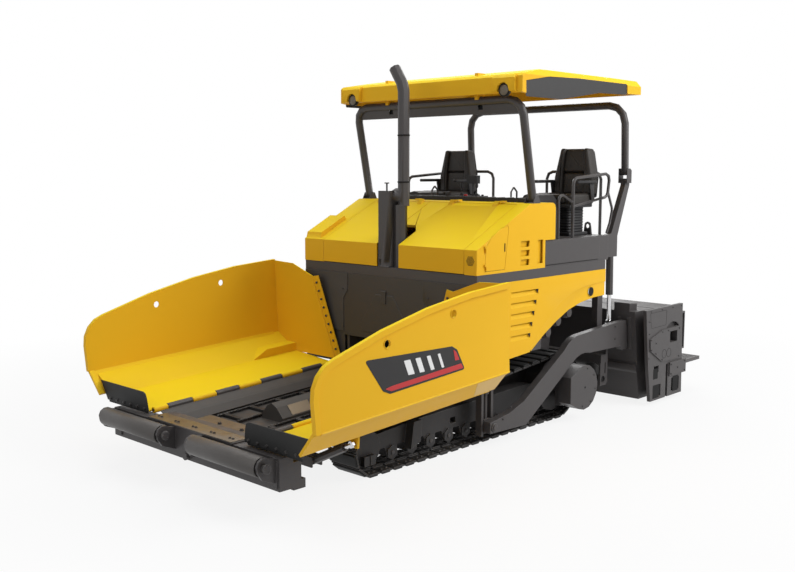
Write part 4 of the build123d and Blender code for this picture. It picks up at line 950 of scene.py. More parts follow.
# ------------------------------------------------------------------ hopper and push beam
@dataclass
class Hopper(Group):
    """Fittings of the two hopper wings and the front flaps."""

    side: float = 1.625             # outer face of a wing
    hinge: float = 0.720
    hinge_stops: tuple[float, ...] = (-0.111, -0.260, -0.530, -0.800, -1.070, -1.340, -1.610, -1.880, -2.150, -2.345)
    sleeve: float = 0.0295
    hinge_gap: float = 0.006
    lifting_holes: tuple[Pair, ...] = ((-0.790, 0.782), (-1.590, 0.892))
    strip_face: float = -2.3275     # front face of the seal strip
    strip: tuple[Pair, Pair] = ((0.655, 0.115), (0.935, 0.885))
    strip_bolts: int = 9
    strip_bolt: float = 0.022
    flap_face: float = -0.050
    flap_bolts: int = 6
    flap_bolt: float = 0.026
    badge_thick: float = 0.003
    badge_ease: float = 0.0008

    def badge(self) -> None:
        """Bare sloping panel on each wing's outer face, edged and barred in the machine's trim colours."""
        y = self.side
        face, top = y + self.badge_thick, y + self.badge_thick + 0.002
        corners = [(-0.498, 1.245), (-1.523, 1.223), (-1.588, 1.187), (-1.693, 1.004), (-0.777, 0.942),
                   (-0.698, 0.975)]
        self.make.sides("badge_panel", slab(rounded(corners, 0.02, 4), y, face, "y", 0.001, 1), PLASTIC, "wing")
        low = [(-0.715, 0.990), (-0.790, 0.962), (-1.670, 1.018), (-1.640, 1.062), (-0.800, 1.004)]
        tail = [(-1.535, 1.196), (-1.572, 1.172), (-1.618, 1.096), (-1.560, 1.096)]
        bars = []
        for i in range(4):
            x, wide = -0.93 - 0.135 * i, 0.075 - 0.014 * i
            bars.append([(x, 1.185), (x - wide, 1.185), (x - wide - 0.055, 1.060), (x - 0.055, 1.060)])
        for name, forms, finish in (("badge_red_edge", (low, tail), RED), ("badge_white_bars", bars, WHITE)):
            raised_forms = [slab(rounded(form, 0.006, 3), face, top, "y", self.badge_ease, 1) for form in forms]
            self.make.sides(name, Shape.join(raised_forms), finish, "wing")

    def knuckles(self) -> None:
        """Round sleeves of the wing's hinge, in turn on the wing and on the frame."""
        sleeves: list[list[Shape]] = [[], []]
        for i, (start, end) in enumerate(zip(self.hinge_stops[:-1], self.hinge_stops[1:])):
            long = start - end - self.hinge_gap
            form = [(0.025, 0), (self.sleeve, 0.004), (self.sleeve, long - 0.004), (0.025, long)]
            foot = (start - self.hinge_gap / 2, self.hinge, 0)
            sleeves[i % 2].append(lathe(form, foot, (-1, 0, 0), 24))
        self.make.sides("hinge_sleeves", tipped(Shape.join(sleeves[0])), PAINT, "wing")
        self.make.piece("hinge_sockets", tipped(Shape.join(sleeves[1])).both(), FRAME)

    def holes(self) -> None:
        """Rolled rings round the two lifting holes of each wing."""
        form = [(0.033, 0), (0.041, 0), (0.041, 0.003), (0.037, 0.006), (0.033, 0.004)]
        rims = [rim(form, (x, self.side, z), "y", 28) for x, z in self.lifting_holes]
        self.make.sides("hole_rings", tipped(Shape.join(rims)), PAINT, "wing")

    def skirt(self) -> None:
        """Lighter, scuffed patch at the foot of each wing's outer skirt."""
        across = np.array([0.171, 0.200]) / math.hypot(0.171, 0.200)
        share = np.array([0.06, 0.06, 0.96, 0.96])
        x = np.array([-2.02, -2.318, -2.318, -1.90])
        low = np.stack([x, 1.455 + 0.170 * share, 0.045 + 0.200 * share], 1)
        out = np.array([0.0, across[1], -across[0]]) * 0.0012
        self.make.sides("skirt_patch", tipped(sheet_of(low, out)), TAN, "wing")

    def bolts(self) -> None:
        """Bolts down the strip that seals each wing against the engine wall, and along the flap's angle."""
        start, end = np.array(self.strip)
        at = start + np.linspace(0.05, 0.95, self.strip_bolts)[:, None] * (end - start)
        seal = bolt(self.strip_bolt).aimed(spread(self.strip_face, at[:, 0], at[:, 1]), (1, 0, 0))
        self.make.sides("seal_bolts", tipped(seal), BOLTS, "wing")
        along = spread(self.flap_face, np.linspace(0.76, 1.34, self.flap_bolts), 0.022)
        self.make.sides("flap_bolts", tipped(bolt(self.flap_bolt).aimed(along, (1, 0, 0))), BOLTS, "wing")

    def build(self) -> None:
        """Makes the hopper's fittings."""
        for step in (self.badge, self.knuckles, self.holes, self.skirt, self.bolts):
            step()


@dataclass
class PushBeam(Group):
    """Cover strip, rollers and bolts of the push beam."""

    axis: Pair = (0.118, 0.442)     # of the rollers, in X and Z
    pin: float = 0.0295
    start: float = 0.186
    bosses: Pair = (0.180, 1.190)
    strip_top: float = 0.513

    def rollers(self) -> None:
        """Smooth rollers with recessed ends, on their pins."""
        form = [(self.pin, 0), (self.pin, 0.058), (0.068, 0.058), (0.072, 0.044), (0.078, 0.044), (0.082, 0.049),
                (0.082, 0.939), (0.078, 0.944), (0.072, 0.944), (0.068, 0.930), (self.pin, 0.930), (self.pin, 0.988)]
        roller = lathe(form, (self.axis[0], self.start, self.axis[1]), (0, 1, 0), 48)
        self.make.sides("smooth_roller", roller, ROLLER, "push_roller", 40.0, "push_roller")

    def build(self) -> None:
        """Makes the beam's fittings."""
        cover = brick((-0.17, 0.006), (-0.60, 0.60), (0.507, self.strip_top), 0.002, 0.01)
        self.make.piece("beam_cover_strip", cover, BRONZE)
        y = np.linspace(-0.52, 0.52, 5)
        pairs = np.concatenate([spread(-0.06, y + d, self.strip_top) for d in (-0.022, 0.022)])
        self.make.piece("beam_cover_bolts", bolt(0.022).aimed(pairs, (0, 0, 1)), BOLTS)
        self.rollers()
        x, z = self.axis
        turn = np.arange(3) * 2.1
        for name, y0, way in (("inner", self.bosses[0], -1), ("outer", self.bosses[1], 1)):
            boss = lathe([(0.040, 0), (0.040, 0.012), (0.034, 0.016), (0.020, 0.017)], (x, y0, z), (0, way, 0), 20)
            ring = spread(x + 0.029 * np.cos(turn), y0 + way * 0.012, z + 0.029 * np.sin(turn))
            self.make.piece(f"roller_boss_{name}", (boss + bolt(0.020).aimed(ring, (0, way, 0))).both(), FRAME)


@dataclass
class Conveyor(Group):
    """Twin conveyors between the wings: chains with links, flight bars, ridge and nose plate."""

    strands: tuple[float, ...] = (0.185, 0.485)
    run: Pair = (-4.30, -0.60)
    pitch: float = 0.052
    level: float = -0.143
    bar_start: float = -0.72
    bar_pitch: float = 0.31
    scuffs: tuple[float, ...] = (-1.02, -1.42, -1.82, -2.20)
    scuff_long: float = 0.24
    nose_top: float = -0.1045

    def chains(self) -> Shape:
        """Link plates and pins of the strands, and the flight bars between them.

        Returns:
            Both sides' chains and bars.
        """
        link = rounded([(-0.031, -0.012), (0.031, -0.012), (0.031, 0.012), (-0.031, 0.012)], 0.011, 3)
        plates = slab(link, -0.011, -0.007, "y", 0) + slab(link, 0.007, 0.011, "y", 0)
        pin = lathe([(0.0075, -0.006), (0.0075, 0.006)], (0.026, 0, 0), (0, 1, 0), 8)
        x = np.arange(self.run[0] + 0.04, self.run[1] - 0.03, self.pitch)
        spots = np.concatenate([spread(x, y, self.level) for y in self.strands])
        section = rounded([(-0.028, -0.020), (0.028, -0.020), (0.022, 0.012), (-0.022, 0.012)], 0.004, 2)
        bar = slab(section, 0.199, 0.471, "y", 0.002, 1)
        step = np.arange(self.bar_start, self.run[0] + 0.1, -self.bar_pitch)
        return ((plates + pin).repeated(spots) + bar.repeated(spread(step, 0, self.level))).both()

    def build(self) -> None:
        """Makes the conveyors."""
        self.make.piece("conveyor_links", tipped(self.chains()), DARK_STEEL, stands_for=("conveyor_chains",))
        top, foot = (0.078, -0.0295), (0.145, -0.110)
        patches = []
        for x in self.scuffs:
            rear = x - self.scuff_long
            corners = np.array([(x, *top), (x, *foot), (rear, *foot), (rear, *top)])
            patches.append(sheet_of(corners, (0, 0.0012, 0.0012)))
        self.make.piece("ridge_scuffs", tipped(Shape.join(patches).both()), BRONZE)
        nose = slab(rectangle((-0.55, -0.31), (-0.47, 0.47), 0.01), -0.106, self.nose_top, "z", 0.0007, 1)
        self.make.piece("nose_scuff", tipped(nose), BRONZE)
        spots = spread(-0.43, np.array([-0.16, 0.16]), self.nose_top)
        self.make.piece("nose_bolts", tipped(bolt(0.034).aimed(spots, (0, 0, 1))), BOLTS)


# ------------------------------------------------------------------ running gear and augers
@dataclass
class Crawler(Group):
    """Track loop with shoes, pads and links, roller hubs and drive cover bolts."""

    sprocket: Triple = (-4.100, 0.368, 0.368)
    idler: Triple = (-1.270, 0.240, 0.240)
    shoes: int = 48
    y: Pair = (0.600, 0.960)
    sunk: float = 0.003             # keeps the flat pads inside the round ends of the loop
    wheels: int = 9
    first_wheel: Triple = (-1.580, 0.861, 0.146)
    wheel_pitch: float = 0.260
    cover: Triple = (-4.235, 1.200, 0.360)
    cover_ring: float = 0.205

    def loop(self, depth: float) -> tuple[np.ndarray, np.ndarray]:
        """Evenly spaced places on the loop, and the loop's outward direction there.

        The loop is the hull of the sprocket's and the idler's circles. A tangent's normal n has
        n . (idler - sprocket) = the difference of the radii. Places lie at equal lengths along
        lower run, idler arc, upper run and sprocket arc.

        Args:
            depth: how far inside the outer circles the places lie.

        Returns:
            (n, 2) places and (n, 2) unit directions, both in X and Z.
        """
        a, b = np.array(self.sprocket[:2]), np.array(self.idler[:2])
        gap, ra, rb = b - a, self.sprocket[2], self.idler[2]
        d = np.linalg.norm(gap)
        u = gap / d
        w, lean = np.array([-u[1], u[0]]), (ra - rb) / d
        up = u * lean + w * math.sqrt(1 - lean ** 2)
        top, low = math.atan2(up[1], up[0]), -math.pi / 2
        angle = np.concatenate([np.linspace(low, top, 60), np.linspace(top, 2 * math.pi + low, 90)])
        centre = np.concatenate([np.repeat(b[None], 60, 0), np.repeat(a[None], 90, 0)])
        radius = np.concatenate([np.full(60, rb), np.full(90, ra)]) - depth
        out = np.stack([np.cos(angle), np.sin(angle)], 1)
        line = centre + out * radius[:, None]
        line, out = np.vstack([line, line[:1]]), np.vstack([out, out[:1]])
        length = np.concatenate([[0], np.cumsum(np.linalg.norm(np.diff(line, axis=0), axis=1))])
        at = np.arange(self.shoes) * length[-1] / self.shoes
        place = np.stack([np.interp(at, length, line[:, k]) for k in (0, 1)], 1)
        way = np.stack([np.interp(at, length, out[:, k]) for k in (0, 1)], 1)
        return place, way / np.linalg.norm(way, axis=1)[:, None]

    def carried(self, shape: Shape) -> Shape:
        """A shape drawn about the loop (X along it, Z outwards), set at each shoe.

        Args:
            shape: what each shoe carries.

        Returns:
            All copies as one shape.
        """
        place, out = self.loop(self.sunk)
        ahead = np.stack([out[:, 1], -out[:, 0]], 1)
        p = shape.points
        x, z = (place[:, k:k + 1] + p[None, :, 0] * ahead[:, k:k + 1] + p[None, :, 2] * out[:, k:k + 1]
                for k in (0, 1))
        points = np.stack([x, np.broadcast_to(p[None, :, 1], x.shape), z], -1).reshape(-1, 3)
        corners = (np.arange(len(place))[:, None] * len(p) + shape.corners[None]).ravel()
        return Shape(points, corners, np.tile(shape.sizes, len(place)))

    def shoe(self) -> Shape:
        """One steel shoe with its two link plates and four bolts.

        Returns:
            The shoe, drawn about the loop.
        """
        y0, y1 = self.y
        section = rounded([(-0.068, -0.034), (0.068, -0.034), (0.068, -0.016), (-0.068, -0.016)], 0.004, 2)
        link = rounded([(-0.074, -0.052), (0.074, -0.052), (0.060, -0.030), (-0.060, -0.030)], 0.008, 2)
        links = slab(link, y0 + 0.120, y0 + 0.138, "y", 0) + slab(link, y1 - 0.138, y1 - 0.120, "y", 0)
        heads = bolt(0.020).aimed([(x, y, -0.034) for x in (-0.03, 0.03) for y in (y0 + 0.05, y1 - 0.05)], (0, 0, -1))
        return slab(section, y0, y1, "y", 0.002, 1) + links + heads

    def build(self) -> None:
        """Makes the tracks' fittings."""
        section = rounded([(-0.056, -0.017), (0.056, -0.017), (0.048, 0.0), (-0.048, 0.0)], 0.004, 2)
        pads = self.carried(slab(section, self.y[0] + 0.008, self.y[1] - 0.008, "y", 0.004, 1))
        track = self.carried(self.shoe())
        for side, shoes, rubber in (("left", track, pads), ("right", track.mirrored(), pads.mirrored())):
            self.make.piece(f"track_shoes_{side}", shoes, TREAD, stands_for=(f"track_{side}",))
            self.make.piece(f"track_pads_{side}", rubber, RUBBER)
        x, y, z = self.first_wheel
        hub = lathe([(0.050, 0), (0.050, 0.010), (0.044, 0.016), (0.022, 0.016), (0.020, 0.026), (0.012, 0.028)],
                    (0, 0, 0), (0, 1, 0), 20)
        row = spread(x - self.wheel_pitch * np.arange(self.wheels), y, z)
        self.make.piece("roller_hubs", hub.repeated(row).both(), FRAME)
        x, y, z = self.cover
        turn = np.arange(2, 7) * math.pi / 4 + 0.2
        ring = spread(x + self.cover_ring * np.cos(turn), y, z + self.cover_ring * np.sin(turn))
        self.make.piece("drive_cover_bolts", bolt(0.016).aimed(ring, (0, 1, 0)).both(), BOLTS)
        mark = lathe([(0.013, 0), (0.013, 0.001)], self.cover, (0, 1, 0), 16)
        self.make.piece("drive_cover_plug", mark.both(), BLACK)


@dataclass
class Augers(Group):
    """Spreading screws in front of the screed."""

    axis: Pair = (-4.850, 0.330)
    radius: float = 0.170
    shaft: float = 0.038
    shaft_y: Pair = (0.112, 1.024)
    pitch: float = 0.300
    turns: float = 2.5
    start: float = 0.182
    thick: float = 0.012

    def build(self) -> None:
        """A screw blade and its shaft.

        The blade's point at angle a and radius r is (r cos a, start + pitch a / 2 pi, r sin a), and
        its section is a thin rectangle from the shaft to the rim.
        """
        x, z = self.axis
        angle = np.linspace(0, 2 * math.pi * self.turns, int(36 * self.turns) + 1)[:, None]
        foot, rim_r = self.shaft - 0.004, self.radius
        r = np.array([[foot, rim_r - 0.003, rim_r, rim_r, rim_r - 0.003, foot]])
        off = np.array([[-0.5, -0.5, -0.25, 0.25, 0.5, 0.5]]) * self.thick
        points = np.stack([x + r * np.cos(angle), self.start + self.pitch * angle / (2 * math.pi) + off,
                           z + r * np.sin(angle)], -1)
        low, high = self.shaft_y
        form = [(0.033, low), (self.shaft, low + 0.005), (self.shaft, high - 0.005), (0.033, high)]
        screw = woven(points, wrap_columns=True, capped=True) + lathe(form, (x, 0, z), (0, 1, 0), 24)
        self.make.sides("screw", screw, DARK_STEEL, "auger", 40.0, "auger")


# ------------------------------------------------------------------ upper body
@dataclass
class Canopy(Group):
    """Dark side insets, head lamps, and black plates behind the visor's slots as painted shade in them."""

    inset: tuple[Pair, ...] = ((-3.020, 3.531), (-3.400, 3.590), (-3.900, 3.608), (-4.855, 3.608), (-4.861, 3.490),
                               (-4.308, 3.480), (-3.617, 3.380), (-3.025, 3.380))
    inset_bends: tuple[float, ...] = (0.01, 0.5, 0.5, 0.02, 0.02, 0.5, 0.5, 0.02)
    inset_y: Pair = (1.2395, 1.2425)
    lamp: Triple = (-2.951, 1.043, 3.446)
    visor_x: float = -3.135         # rear face of the sun visor
    visor_slots: Pair = (-0.62, 0.62)
    slot_half: float = 0.045

    def build(self) -> None:
        """Makes the canopy's fittings."""
        edge = inset(rounded(self.inset, self.inset_bends, 8), 0.002)
        self.make.piece("roof_side_insets", slab(edge, *self.inset_y, "y", 0.001, 1).both(), PANEL, "roof")
        bowl = [(0.058, -0.004), (0.058, 0.004), (0.052, 0.010), (0.034, 0.016), (0.012, 0.018)]
        self.make.piece("lamp_lenses", lathe(bowl, self.lamp, (1, 0, 0), 32).both(), LENS, "roof")
        x, half = (self.visor_x - 0.0015, self.visor_x), self.slot_half
        # Painted shade: black plates behind the visor's slots make them dark.
        backs = [brick(x, (y - half, y + half), (3.242, 3.332), 0.0005) for y in self.visor_slots]
        self.make.piece("visor_slot_shade", Shape.join(backs), BLACK, "front_hoop")
        form = [(0.050, 0.0), (0.063, 0.0), (0.063, 0.010), (0.058, 0.013), (0.050, 0.010)]
        self.make.piece("lamp_rims", rim(form, self.lamp, "x", 32).both(), BLACK, "roof")


@dataclass
class Exhaust(Group):
    """Black disc as painted shade in the stack's open mouth, and clamp rings of the stack."""

    tip: Triple = (-2.500, 0.024, 3.690)
    along: Triple = (0.0, -0.543, 0.840)
    stack: Pair = (-2.500, 0.147)
    ring_levels: Pair = (2.56, 3.02)

    def build(self) -> None:
        """Makes the stack's fittings."""
        # Painted shade: a black disc in the stack's mouth.
        self.make.piece("stack_mouth_shade", lathe([(0.049, 0.0), (0.049, 0.0015)], self.tip, self.along, 32), BLACK)
        form = [(0.060, 0), (0.063, 0.003), (0.063, 0.012), (0.060, 0.015)]
        rings = [lathe(form, (*self.stack, z), (0, 0, 1), 32) for z in self.ring_levels]
        self.make.piece("stack_rings", Shape.join(rings), BLACK)


@dataclass
class SideTrim(Group):
    """Louvre blades, vent backs, seams, plug and small fittings of the side panels and the hood."""

    side: float = 1.200             # outer face of the side panels
    louvres: int = 5
    louvre: Triple = (-3.345, -2.896, 1.461)    # rear end, front end and foot of the top one
    louvre_step: Pair = (0.031, -0.108)
    vent_feet: tuple[float, ...] = (1.94, 1.85, 1.76)
    back_y: Pair = (1.168, 1.172)
    plug: Pair = (-4.306, 1.395)
    plug_radius: float = 0.048
    grille: Triple = (-2.3640, 1.124, 1.847)

    def openings(self) -> None:
        """Sloping blades and end shadows of the louvres, and the walls behind the vents."""
        ends, blades = [], []
        rear, front, top = self.louvre
        for i in range(self.louvres):
            z, x = top + self.louvre_step[1] * i, rear + self.louvre_step[0] * i
            corner = np.array([(x + 0.002, z + 0.048), (x + 0.040, z + 0.048), (x + 0.016, z + 0.004)])
            ends.append(slab(corner, self.side - 0.001, self.side + 0.0008, "y", 0))
            blade = np.array([(1.1985, z - 0.002), (1.1945, z - 0.006), (1.1640, z + 0.052), (1.1690, z + 0.054)])
            blades.append(slab(blade, x - 0.004, front, "x", 0))
        self.make.piece("louvre_shadows", Shape.join(ends).both(), BLACK)
        self.make.piece("louvre_blades", Shape.join(blades).both(), PAINT)
        walls = [rectangle((-3.195, -3.025), (z - 0.006, z + 0.066)) for z in self.vent_feet]
        walls.append(rectangle((-3.420, -3.310), (1.755, 2.005)))
        self.make.piece("vent_backs", Shape.join([slab(w, *self.back_y, "y", 0) for w in walls]).both(), PAINT)

    def grilles(self) -> None:
        """Black dots as painted shade in the holes pierced in the hood's left corner, and the ribs of the rear
        intake.
        """
        x, y, z = self.grille
        spots = [(u + 0.5 * (v % 2), v) for v in range(-4, 5) for u in range(-4, 5)]
        dots = [(x, y + 0.0115 * u, z + 0.010 * v) for u, v in spots if u ** 2 + (0.87 * v) ** 2 < 17]
        # Painted shade: black dots for the pierced holes.
        dot = lathe([(0.0040, 0), (0.0040, 0.0012)], (0, 0, 0), (0, 0, 1), 8)
        self.make.piece("dotted_grille_shade", dot.aimed(dots, (1, 0, 0)), BLACK)
        rib = slab(rectangle((-3.4000, -3.3965), (2.364, 2.401)), -0.004, 0.004, "y", 0)
        self.make.piece("grille_ribs", rib.repeated(spread(0, np.arange(-0.98, 1.0, 0.024), 0)), PLASTIC)

    def build(self) -> None:
        """Makes the side panels' and the hood's fittings."""
        self.openings()
        lines = ([(-4.350, 1.985), (-4.355, 1.985), (-4.435, 1.722), (-4.430, 1.722)],
                 [(-3.470, 1.735), (-4.420, 1.735), (-4.420, 1.730), (-3.470, 1.730)])
        seams = [slab(np.array(line), 1.1900, 1.1908, "y", 0) for line in lines]
        self.make.piece("deck_seams", Shape.join(seams).both(), BLACK)
        latch = slab(rectangle((-2.792, -2.778), (1.915, 1.995), 0.005), self.side, self.side + 0.0035, "y", 0.001, 1)
        self.make.sides("door_latch", latch, BLACK, "hood_door")
        plug = lathe([(self.plug_radius, 0), (self.plug_radius, 0.0015)], (self.plug[0], self.side, self.plug[1]),
                     (0, 1, 0), 32)
        self.make.piece("side_plugs", plug.both(), BLACK)
        self.grilles()
        wall = [(-2.3615, y, z) for y in (-1.0, -0.6, 0.6, 1.0) for z in (1.05, 1.45)]
        self.make.piece("wall_bolts", bolt(0.018).aimed(wall, (1, 0, 0)), BOLTS)


@dataclass
class Skins(Group):
    """Smooth, eased copies of the plated CAD nodes.

    Each row gives a node, its body, its finish, the bevel's width and the angle above which an edge
    is sharp. A row without a body is for a left and a right node, each on the body of its own name.
    """

    nodes: dict[str, bpy.types.Object]
    rows: tuple[tuple[str, str, Finish, float, float], ...] = (
        ("roof", "roof", PAINT, 0.012, 30), ("hood", "chassis", PAINT, 0.0, 26), ("hood_lid", "", PAINT, 0.0, 26),
        ("hood_door", "", PAINT, 0.003, 26), ("wing", "", PAINT, 0.003, 26),
        ("side_panels", "chassis", PAINT, 0.002, 30), ("drive_covers", "chassis", FRAME, 0.006, 30),
        ("tow_arms", "screed", FRAME, 0.006, 30), ("screed", "screed", FRAME, 0.004, 30),
        ("screed_extension", "", FRAME, 0.004, 30), ("push_beam", "chassis", FRAME, 0.005, 30),
        ("bulkhead", "chassis", SHADE, 0.002, 30), ("deck", "chassis", FRAME, 0.005, 30),
        ("front_hoop", "front_hoop", FRAME, 0.0, 50), ("rear_hoop", "rear_hoop", FRAME, 0.0, 50),
        ("guard_rails", "chassis", FRAME, 0.0, 50), ("exhaust", "chassis", FRAME, 0.0, 42),
        ("rear_legs", "chassis", FRAME, 0.004, 30), ("main_frame", "chassis", FRAME, 0.004, 30))

    def build(self) -> None:
        """Makes the copies."""
        for name, body, finish, ease, sharp in self.rows:
            for node in ([name] if body else [f"{name}_left", f"{name}_right"]):
                self.make.skin(self.nodes[node], finish, body or node, ease, sharp)


# ------------------------------------------------------------------ operators' platform
@dataclass
class Seats(Group):
    """The operators' two padded seats, with bellows, shells and armrests."""

    y: float = 0.840
    lean: float = -0.055
    lean_about: Triple = (-4.50, 0, 2.40)
    fill: float = 0.62
    folds: int = 9
    fold_pitch: float = 0.030

    def cushion(self) -> Shape:
        """Pan and back: a soft middle between two raised bolsters, in two lengths on the back.

        Returns:
            The cushions of one seat.
        """
        pan = slab(rectangle((-4.510, -4.085), (-0.148, 0.148), 0.05, 6), 2.335, 2.428, "z", 0.030, 6)
        side = slab(rectangle((-4.530, -4.090), (0.142, 0.234), 0.036, 6), 2.315, 2.440, "z", 0.036, 6)
        low = slab(rectangle((-0.136, 0.136), (2.425, 2.655), 0.03, 5), -4.560, -4.462, "x", 0.026, 6)
        head = rounded([(-0.146, 2.660), (0.146, 2.660), (0.122, 2.915), (-0.122, 2.915)], 0.03, 5)
        high = slab(head, -4.560, -4.466, "x", 0.026, 6)
        edge = rounded([(0.130, 2.400), (0.232, 2.430), (0.240, 2.600), (0.172, 2.918), (0.118, 2.918),
                        (0.136, 2.660)], 0.03, 5)
        wing = slab(edge, -4.580, -4.432, "x", 0.028, 6)
        return pan + side.both() + (low + high + wing.both()).turned(1, self.lean, self.lean_about)

    def base(self) -> Shape:
        """Bellows in folds between a foot and a tray.

        Returns:
            The base of one seat.
        """
        fold = slab(rectangle((-4.470, -4.170), (-0.150, 0.150), 0.04, 4), 0, 0.031, "z", 0.013, 3)
        foot = brick((-4.500, -4.140), (-0.180, 0.180), (1.986, 2.022), 0.006, 0.02)
        tray = brick((-4.540, -4.095), (-0.215, 0.215), (2.288, 2.330), 0.008, 0.04)
        return fold.repeated(spread(0, 0, 2.020 + self.fold_pitch * np.arange(self.folds))) + foot + tray

    def arms(self) -> Shape:
        """Armrests on struts, and the shell behind the back.

        Returns:
            The hard parts of one seat.
        """
        rest = slab(rectangle((-4.500, -4.125), (0.234, 0.288), 0.024, 5), 2.545, 2.578, "z", 0.012, 4)
        strut = slab(rounded([(-4.500, 2.360), (-4.440, 2.360), (-4.400, 2.548), (-4.480, 2.548)], 0.01, 3),
                     0.240, 0.256, "y", 0.004)
        edge = rounded([(-0.225, 2.390), (0.225, 2.390), (0.236, 2.600), (0.168, 2.900), (-0.168, 2.900),
                        (-0.236, 2.600)], 0.03, 5)
        shell = slab(edge, -4.596, -4.570, "x", 0.010, 4).turned(1, self.lean, self.lean_about)
        return (rest + strut).both() + shell

    def build(self) -> None:
        """Makes the seats, which take the plain ones' place."""
        seat = self.make.piece("seat_cushions", self.cushion().moved(y=self.y).both(), LEATHER, sharp=60.0,
                               stands_for=("seats",))
        self.make.piece("seat_bases", self.base().moved(y=self.y).both(), PLASTIC)
        self.make.piece("seat_arms", self.arms().moved(y=self.y).both(), PLASTIC)


@dataclass
class Station(Group):
    """Sticks, knobs and stop button of the operators' desk."""

    desk_top: float = 2.400
    sticks: Pair = (-0.24, -0.02)
    knobs: int = 6
    knob_pitch: float = 0.055

    def build(self) -> None:
        """Makes the desk's fittings."""
        stick = lathe([(0.020, 0), (0.014, 0.012), (0.006, 0.020), (0.006, 0.085), (0.015, 0.095), (0.018, 0.120),
                       (0.012, 0.140), (0.004, 0.146)], (0, 0, 0), (0, 0, 1), 16)
        boot = lathe([(0.030, 0), (0.026, 0.006), (0.022, 0.018), (0.015, 0.026)], (0, 0, 0), (0, 0, 1), 16)
        spots = spread(-3.86, np.array(self.sticks), self.desk_top)
        self.make.piece("sticks", (stick + boot).repeated(spots), PLASTIC)
        knob = lathe([(0.014, 0), (0.014, 0.010), (0.010, 0.014)], (0, 0, 0), (0, 0, 1), 14)
        row = spread(-3.92, -0.26 + self.knob_pitch * np.arange(self.knobs), self.desk_top)
        self.make.piece("desk_knobs", knob.repeated(row), BLACK)
        stop = lathe([(0.022, 0), (0.022, 0.012), (0.014, 0.018)], (-3.80, -0.13, self.desk_top), (0, 0, 1), 20)
        self.make.piece("stop_knob", stop, RED)


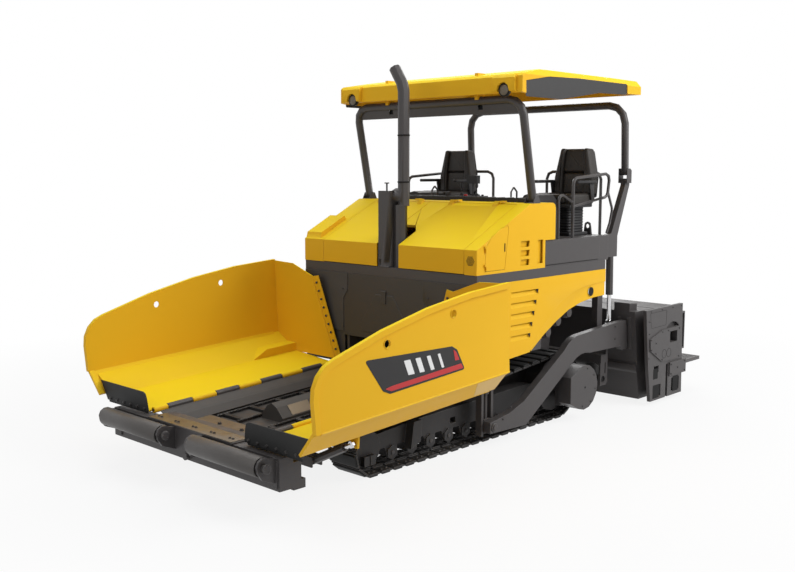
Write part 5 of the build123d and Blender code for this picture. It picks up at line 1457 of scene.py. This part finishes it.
# ------------------------------------------------------------------ screed and pumps
@dataclass
class ScreedTrim(Group):
    """Bolts, marks and tread of the screed and its arms."""

    gate: float = 1.400             # outer faces of end gate, its plate, its box and the tow arm
    plate: float = 1.414
    box: float = 1.418
    arm: float = 1.150
    tow_pin: Pair = (-2.720, 0.205)
    tread_top: float = 0.425
    tread_pitch: float = 0.038

    def marks(self) -> None:
        """Seam of the end gate and the two adjusting rings on its plate."""
        top = rounded([(-5.262, 0.900), (-5.232, 1.078), (-5.610, 1.082), (-5.600, 0.905)], 0.012, 3)
        rings = [hairline(disc(x, 0.575, 0.052, 28), self.plate + 0.001, 0.004) for x in (-5.55, -5.66)]
        self.make.sides("gate_marks", hairline(top, self.gate + 0.001, 0.003) + Shape.join(rings), BLACK,
                        "screed_extension")

    def bolts(self) -> None:
        """Bolts round the plate, along the gate's edges and on the box."""
        plate = [(-5.255, 0.655), (-5.250, 0.770), (-5.500, 0.835), (-5.640, 0.836), (-5.900, 0.836),
                 (-5.905, 0.500), (-5.505, 0.512), (-5.36, 0.60), (-5.36, 0.72)]
        edge = [(-5.225, z) for z in (0.56, 0.70, 0.84, 0.98)] + [(x, 1.095) for x in (-5.25, -5.50, -5.75, -5.96)]
        box = [(-5.72, 0.315), (-5.72, 0.425), (-6.05, 0.315), (-6.05, 0.425), (-5.88, 0.37)]
        heads = []
        for at, y, size in ((plate, self.plate, 0.016), (edge, self.gate, 0.014), (box, self.box, 0.018)):
            x, z = np.array(at).T
            heads.append(bolt(size).aimed(spread(x, y, z), (0, 1, 0)))
        self.make.sides("gate_bolts", Shape.join(heads), BOLTS, "screed_extension")

    def openings(self) -> None:
        """Black patches low on the end gate, a painted shade of its openings."""
        wells = (((-5.44, -5.335), (0.30, 0.42)), ((-5.48, -5.335), (0.075, 0.23)), ((-5.93, -5.80), (0.09, 0.27)))
        # Painted shade: black patches for the openings.
        forms = [slab(rectangle(x, z, 0.008), self.gate, self.gate + 0.0012, "y", 0) for x, z in wells]
        self.make.sides("gate_opening_shade", Shape.join(forms), BLACK, "screed_extension")

    def tread(self) -> None:
        """Raised bars on the walkway, lengthwise and crosswise in turn."""
        x, y = np.meshgrid(np.arange(-6.43, -5.99, self.tread_pitch), np.arange(0.06, 1.38, self.tread_pitch))
        turn = (np.indices(x.shape).sum(0) % 2).astype(bool)
        outline = rounded([(-0.012, -0.003), (0.012, -0.003), (0.012, 0.003), (-0.012, 0.003)], 0.003, 1)
        bar = slab(outline, 0, 0.002, "z", 0)
        bars = [form.repeated(spread(x[turn == way], y[turn == way], self.tread_top))
                for way, form in ((False, bar.turned(2, math.pi / 2)), (True, bar))]
        self.make.sides("walkway_tread", Shape.join(bars), FRAME, "screed_extension")

    def build(self) -> None:
        """Makes the screed's fittings."""
        for step in (self.marks, self.bolts, self.openings, self.tread):
            step()
        form = [(0.044, 0), (0.044, 0.008), (0.038, 0.012), (0.018, 0.012), (0.016, 0.018)]
        pin = lathe(form, (self.tow_pin[0], self.arm, self.tow_pin[1]), (0, 1, 0), 28)
        self.make.piece("tow_pins", pin.both(), FRAME, "screed")
        x, z = np.array([(-2.86, 0.26), (-2.98, 0.36), (-4.90, 0.94), (-4.90, 0.80)]).T
        self.make.piece("tow_arm_bolts", bolt(0.020).aimed(spread(x, self.arm, z), (0, 1, 0)).both(), BOLTS, "screed")


@dataclass
class Pumps(Group):
    """Hydraulic pumps and their fixed pipes, which show through the arch of the side panel."""

    y: float = 0.930
    spots: tuple[Pair, ...] = ((-3.92, 1.10), (-4.12, 1.17), (-3.74, 1.00))
    flange: float = 0.060

    def build(self) -> None:
        """Makes pump bodies with flanges, and rigid pipes clamped between them."""
        body = [(0.030, 0), (0.052, 0.006), (0.052, 0.070), (0.070, 0.076), (0.070, 0.096), (0.058, 0.102),
                (0.058, 0.190), (0.048, 0.205), (0.048, 0.225), (0.020, 0.232)]
        pumps = [lathe(body, (x, self.y - 0.10, z), (0, 1, 0), 20) for x, z in self.spots]
        self.make.piece("pump_bodies", Shape.join(pumps).both(), FRAME)
        turn = np.array([0.8, 2.4, 3.9, 5.5])
        rings = [spread(x + self.flange * np.cos(turn), self.y - 0.004, z + self.flange * np.sin(turn))
                 for x, z in self.spots]
        self.make.piece("pump_bolts", bolt(0.014).aimed(np.concatenate(rings), (0, 1, 0)).both(), BOLTS)
        pipes = []
        for i, (x, z) in enumerate(self.spots):
            y = self.y + 0.04
            run = [(x, y, z + 0.05), (x, y, 1.30 + 0.02 * i), (x + 0.16, y - 0.10, 1.34)]
            pipes.append(pipe(run, 0.011, 0.05, 10, 5))
        self.make.piece("pump_pipes", Shape.join(pipes).both(), RUBBER)


def main() -> None:
    """Loads the frame and builds every group of pieces in order."""
    logging.basicConfig(level=logging.INFO, format="%(name)s: %(message)s")
    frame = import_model()
    make = Maker()
    Studio().build()
    Coats(frame["nodes"]).apply()
    Skins(make, frame["nodes"]).build()
    for group in (Hopper, PushBeam, Conveyor, Crawler, Augers, Canopy, Exhaust, SideTrim, Seats, Station, ScreedTrim,
                  Pumps):
        group(make).build()
    LOG.info("%d pieces made", make.made)


if __name__ == "__main__":
    main()
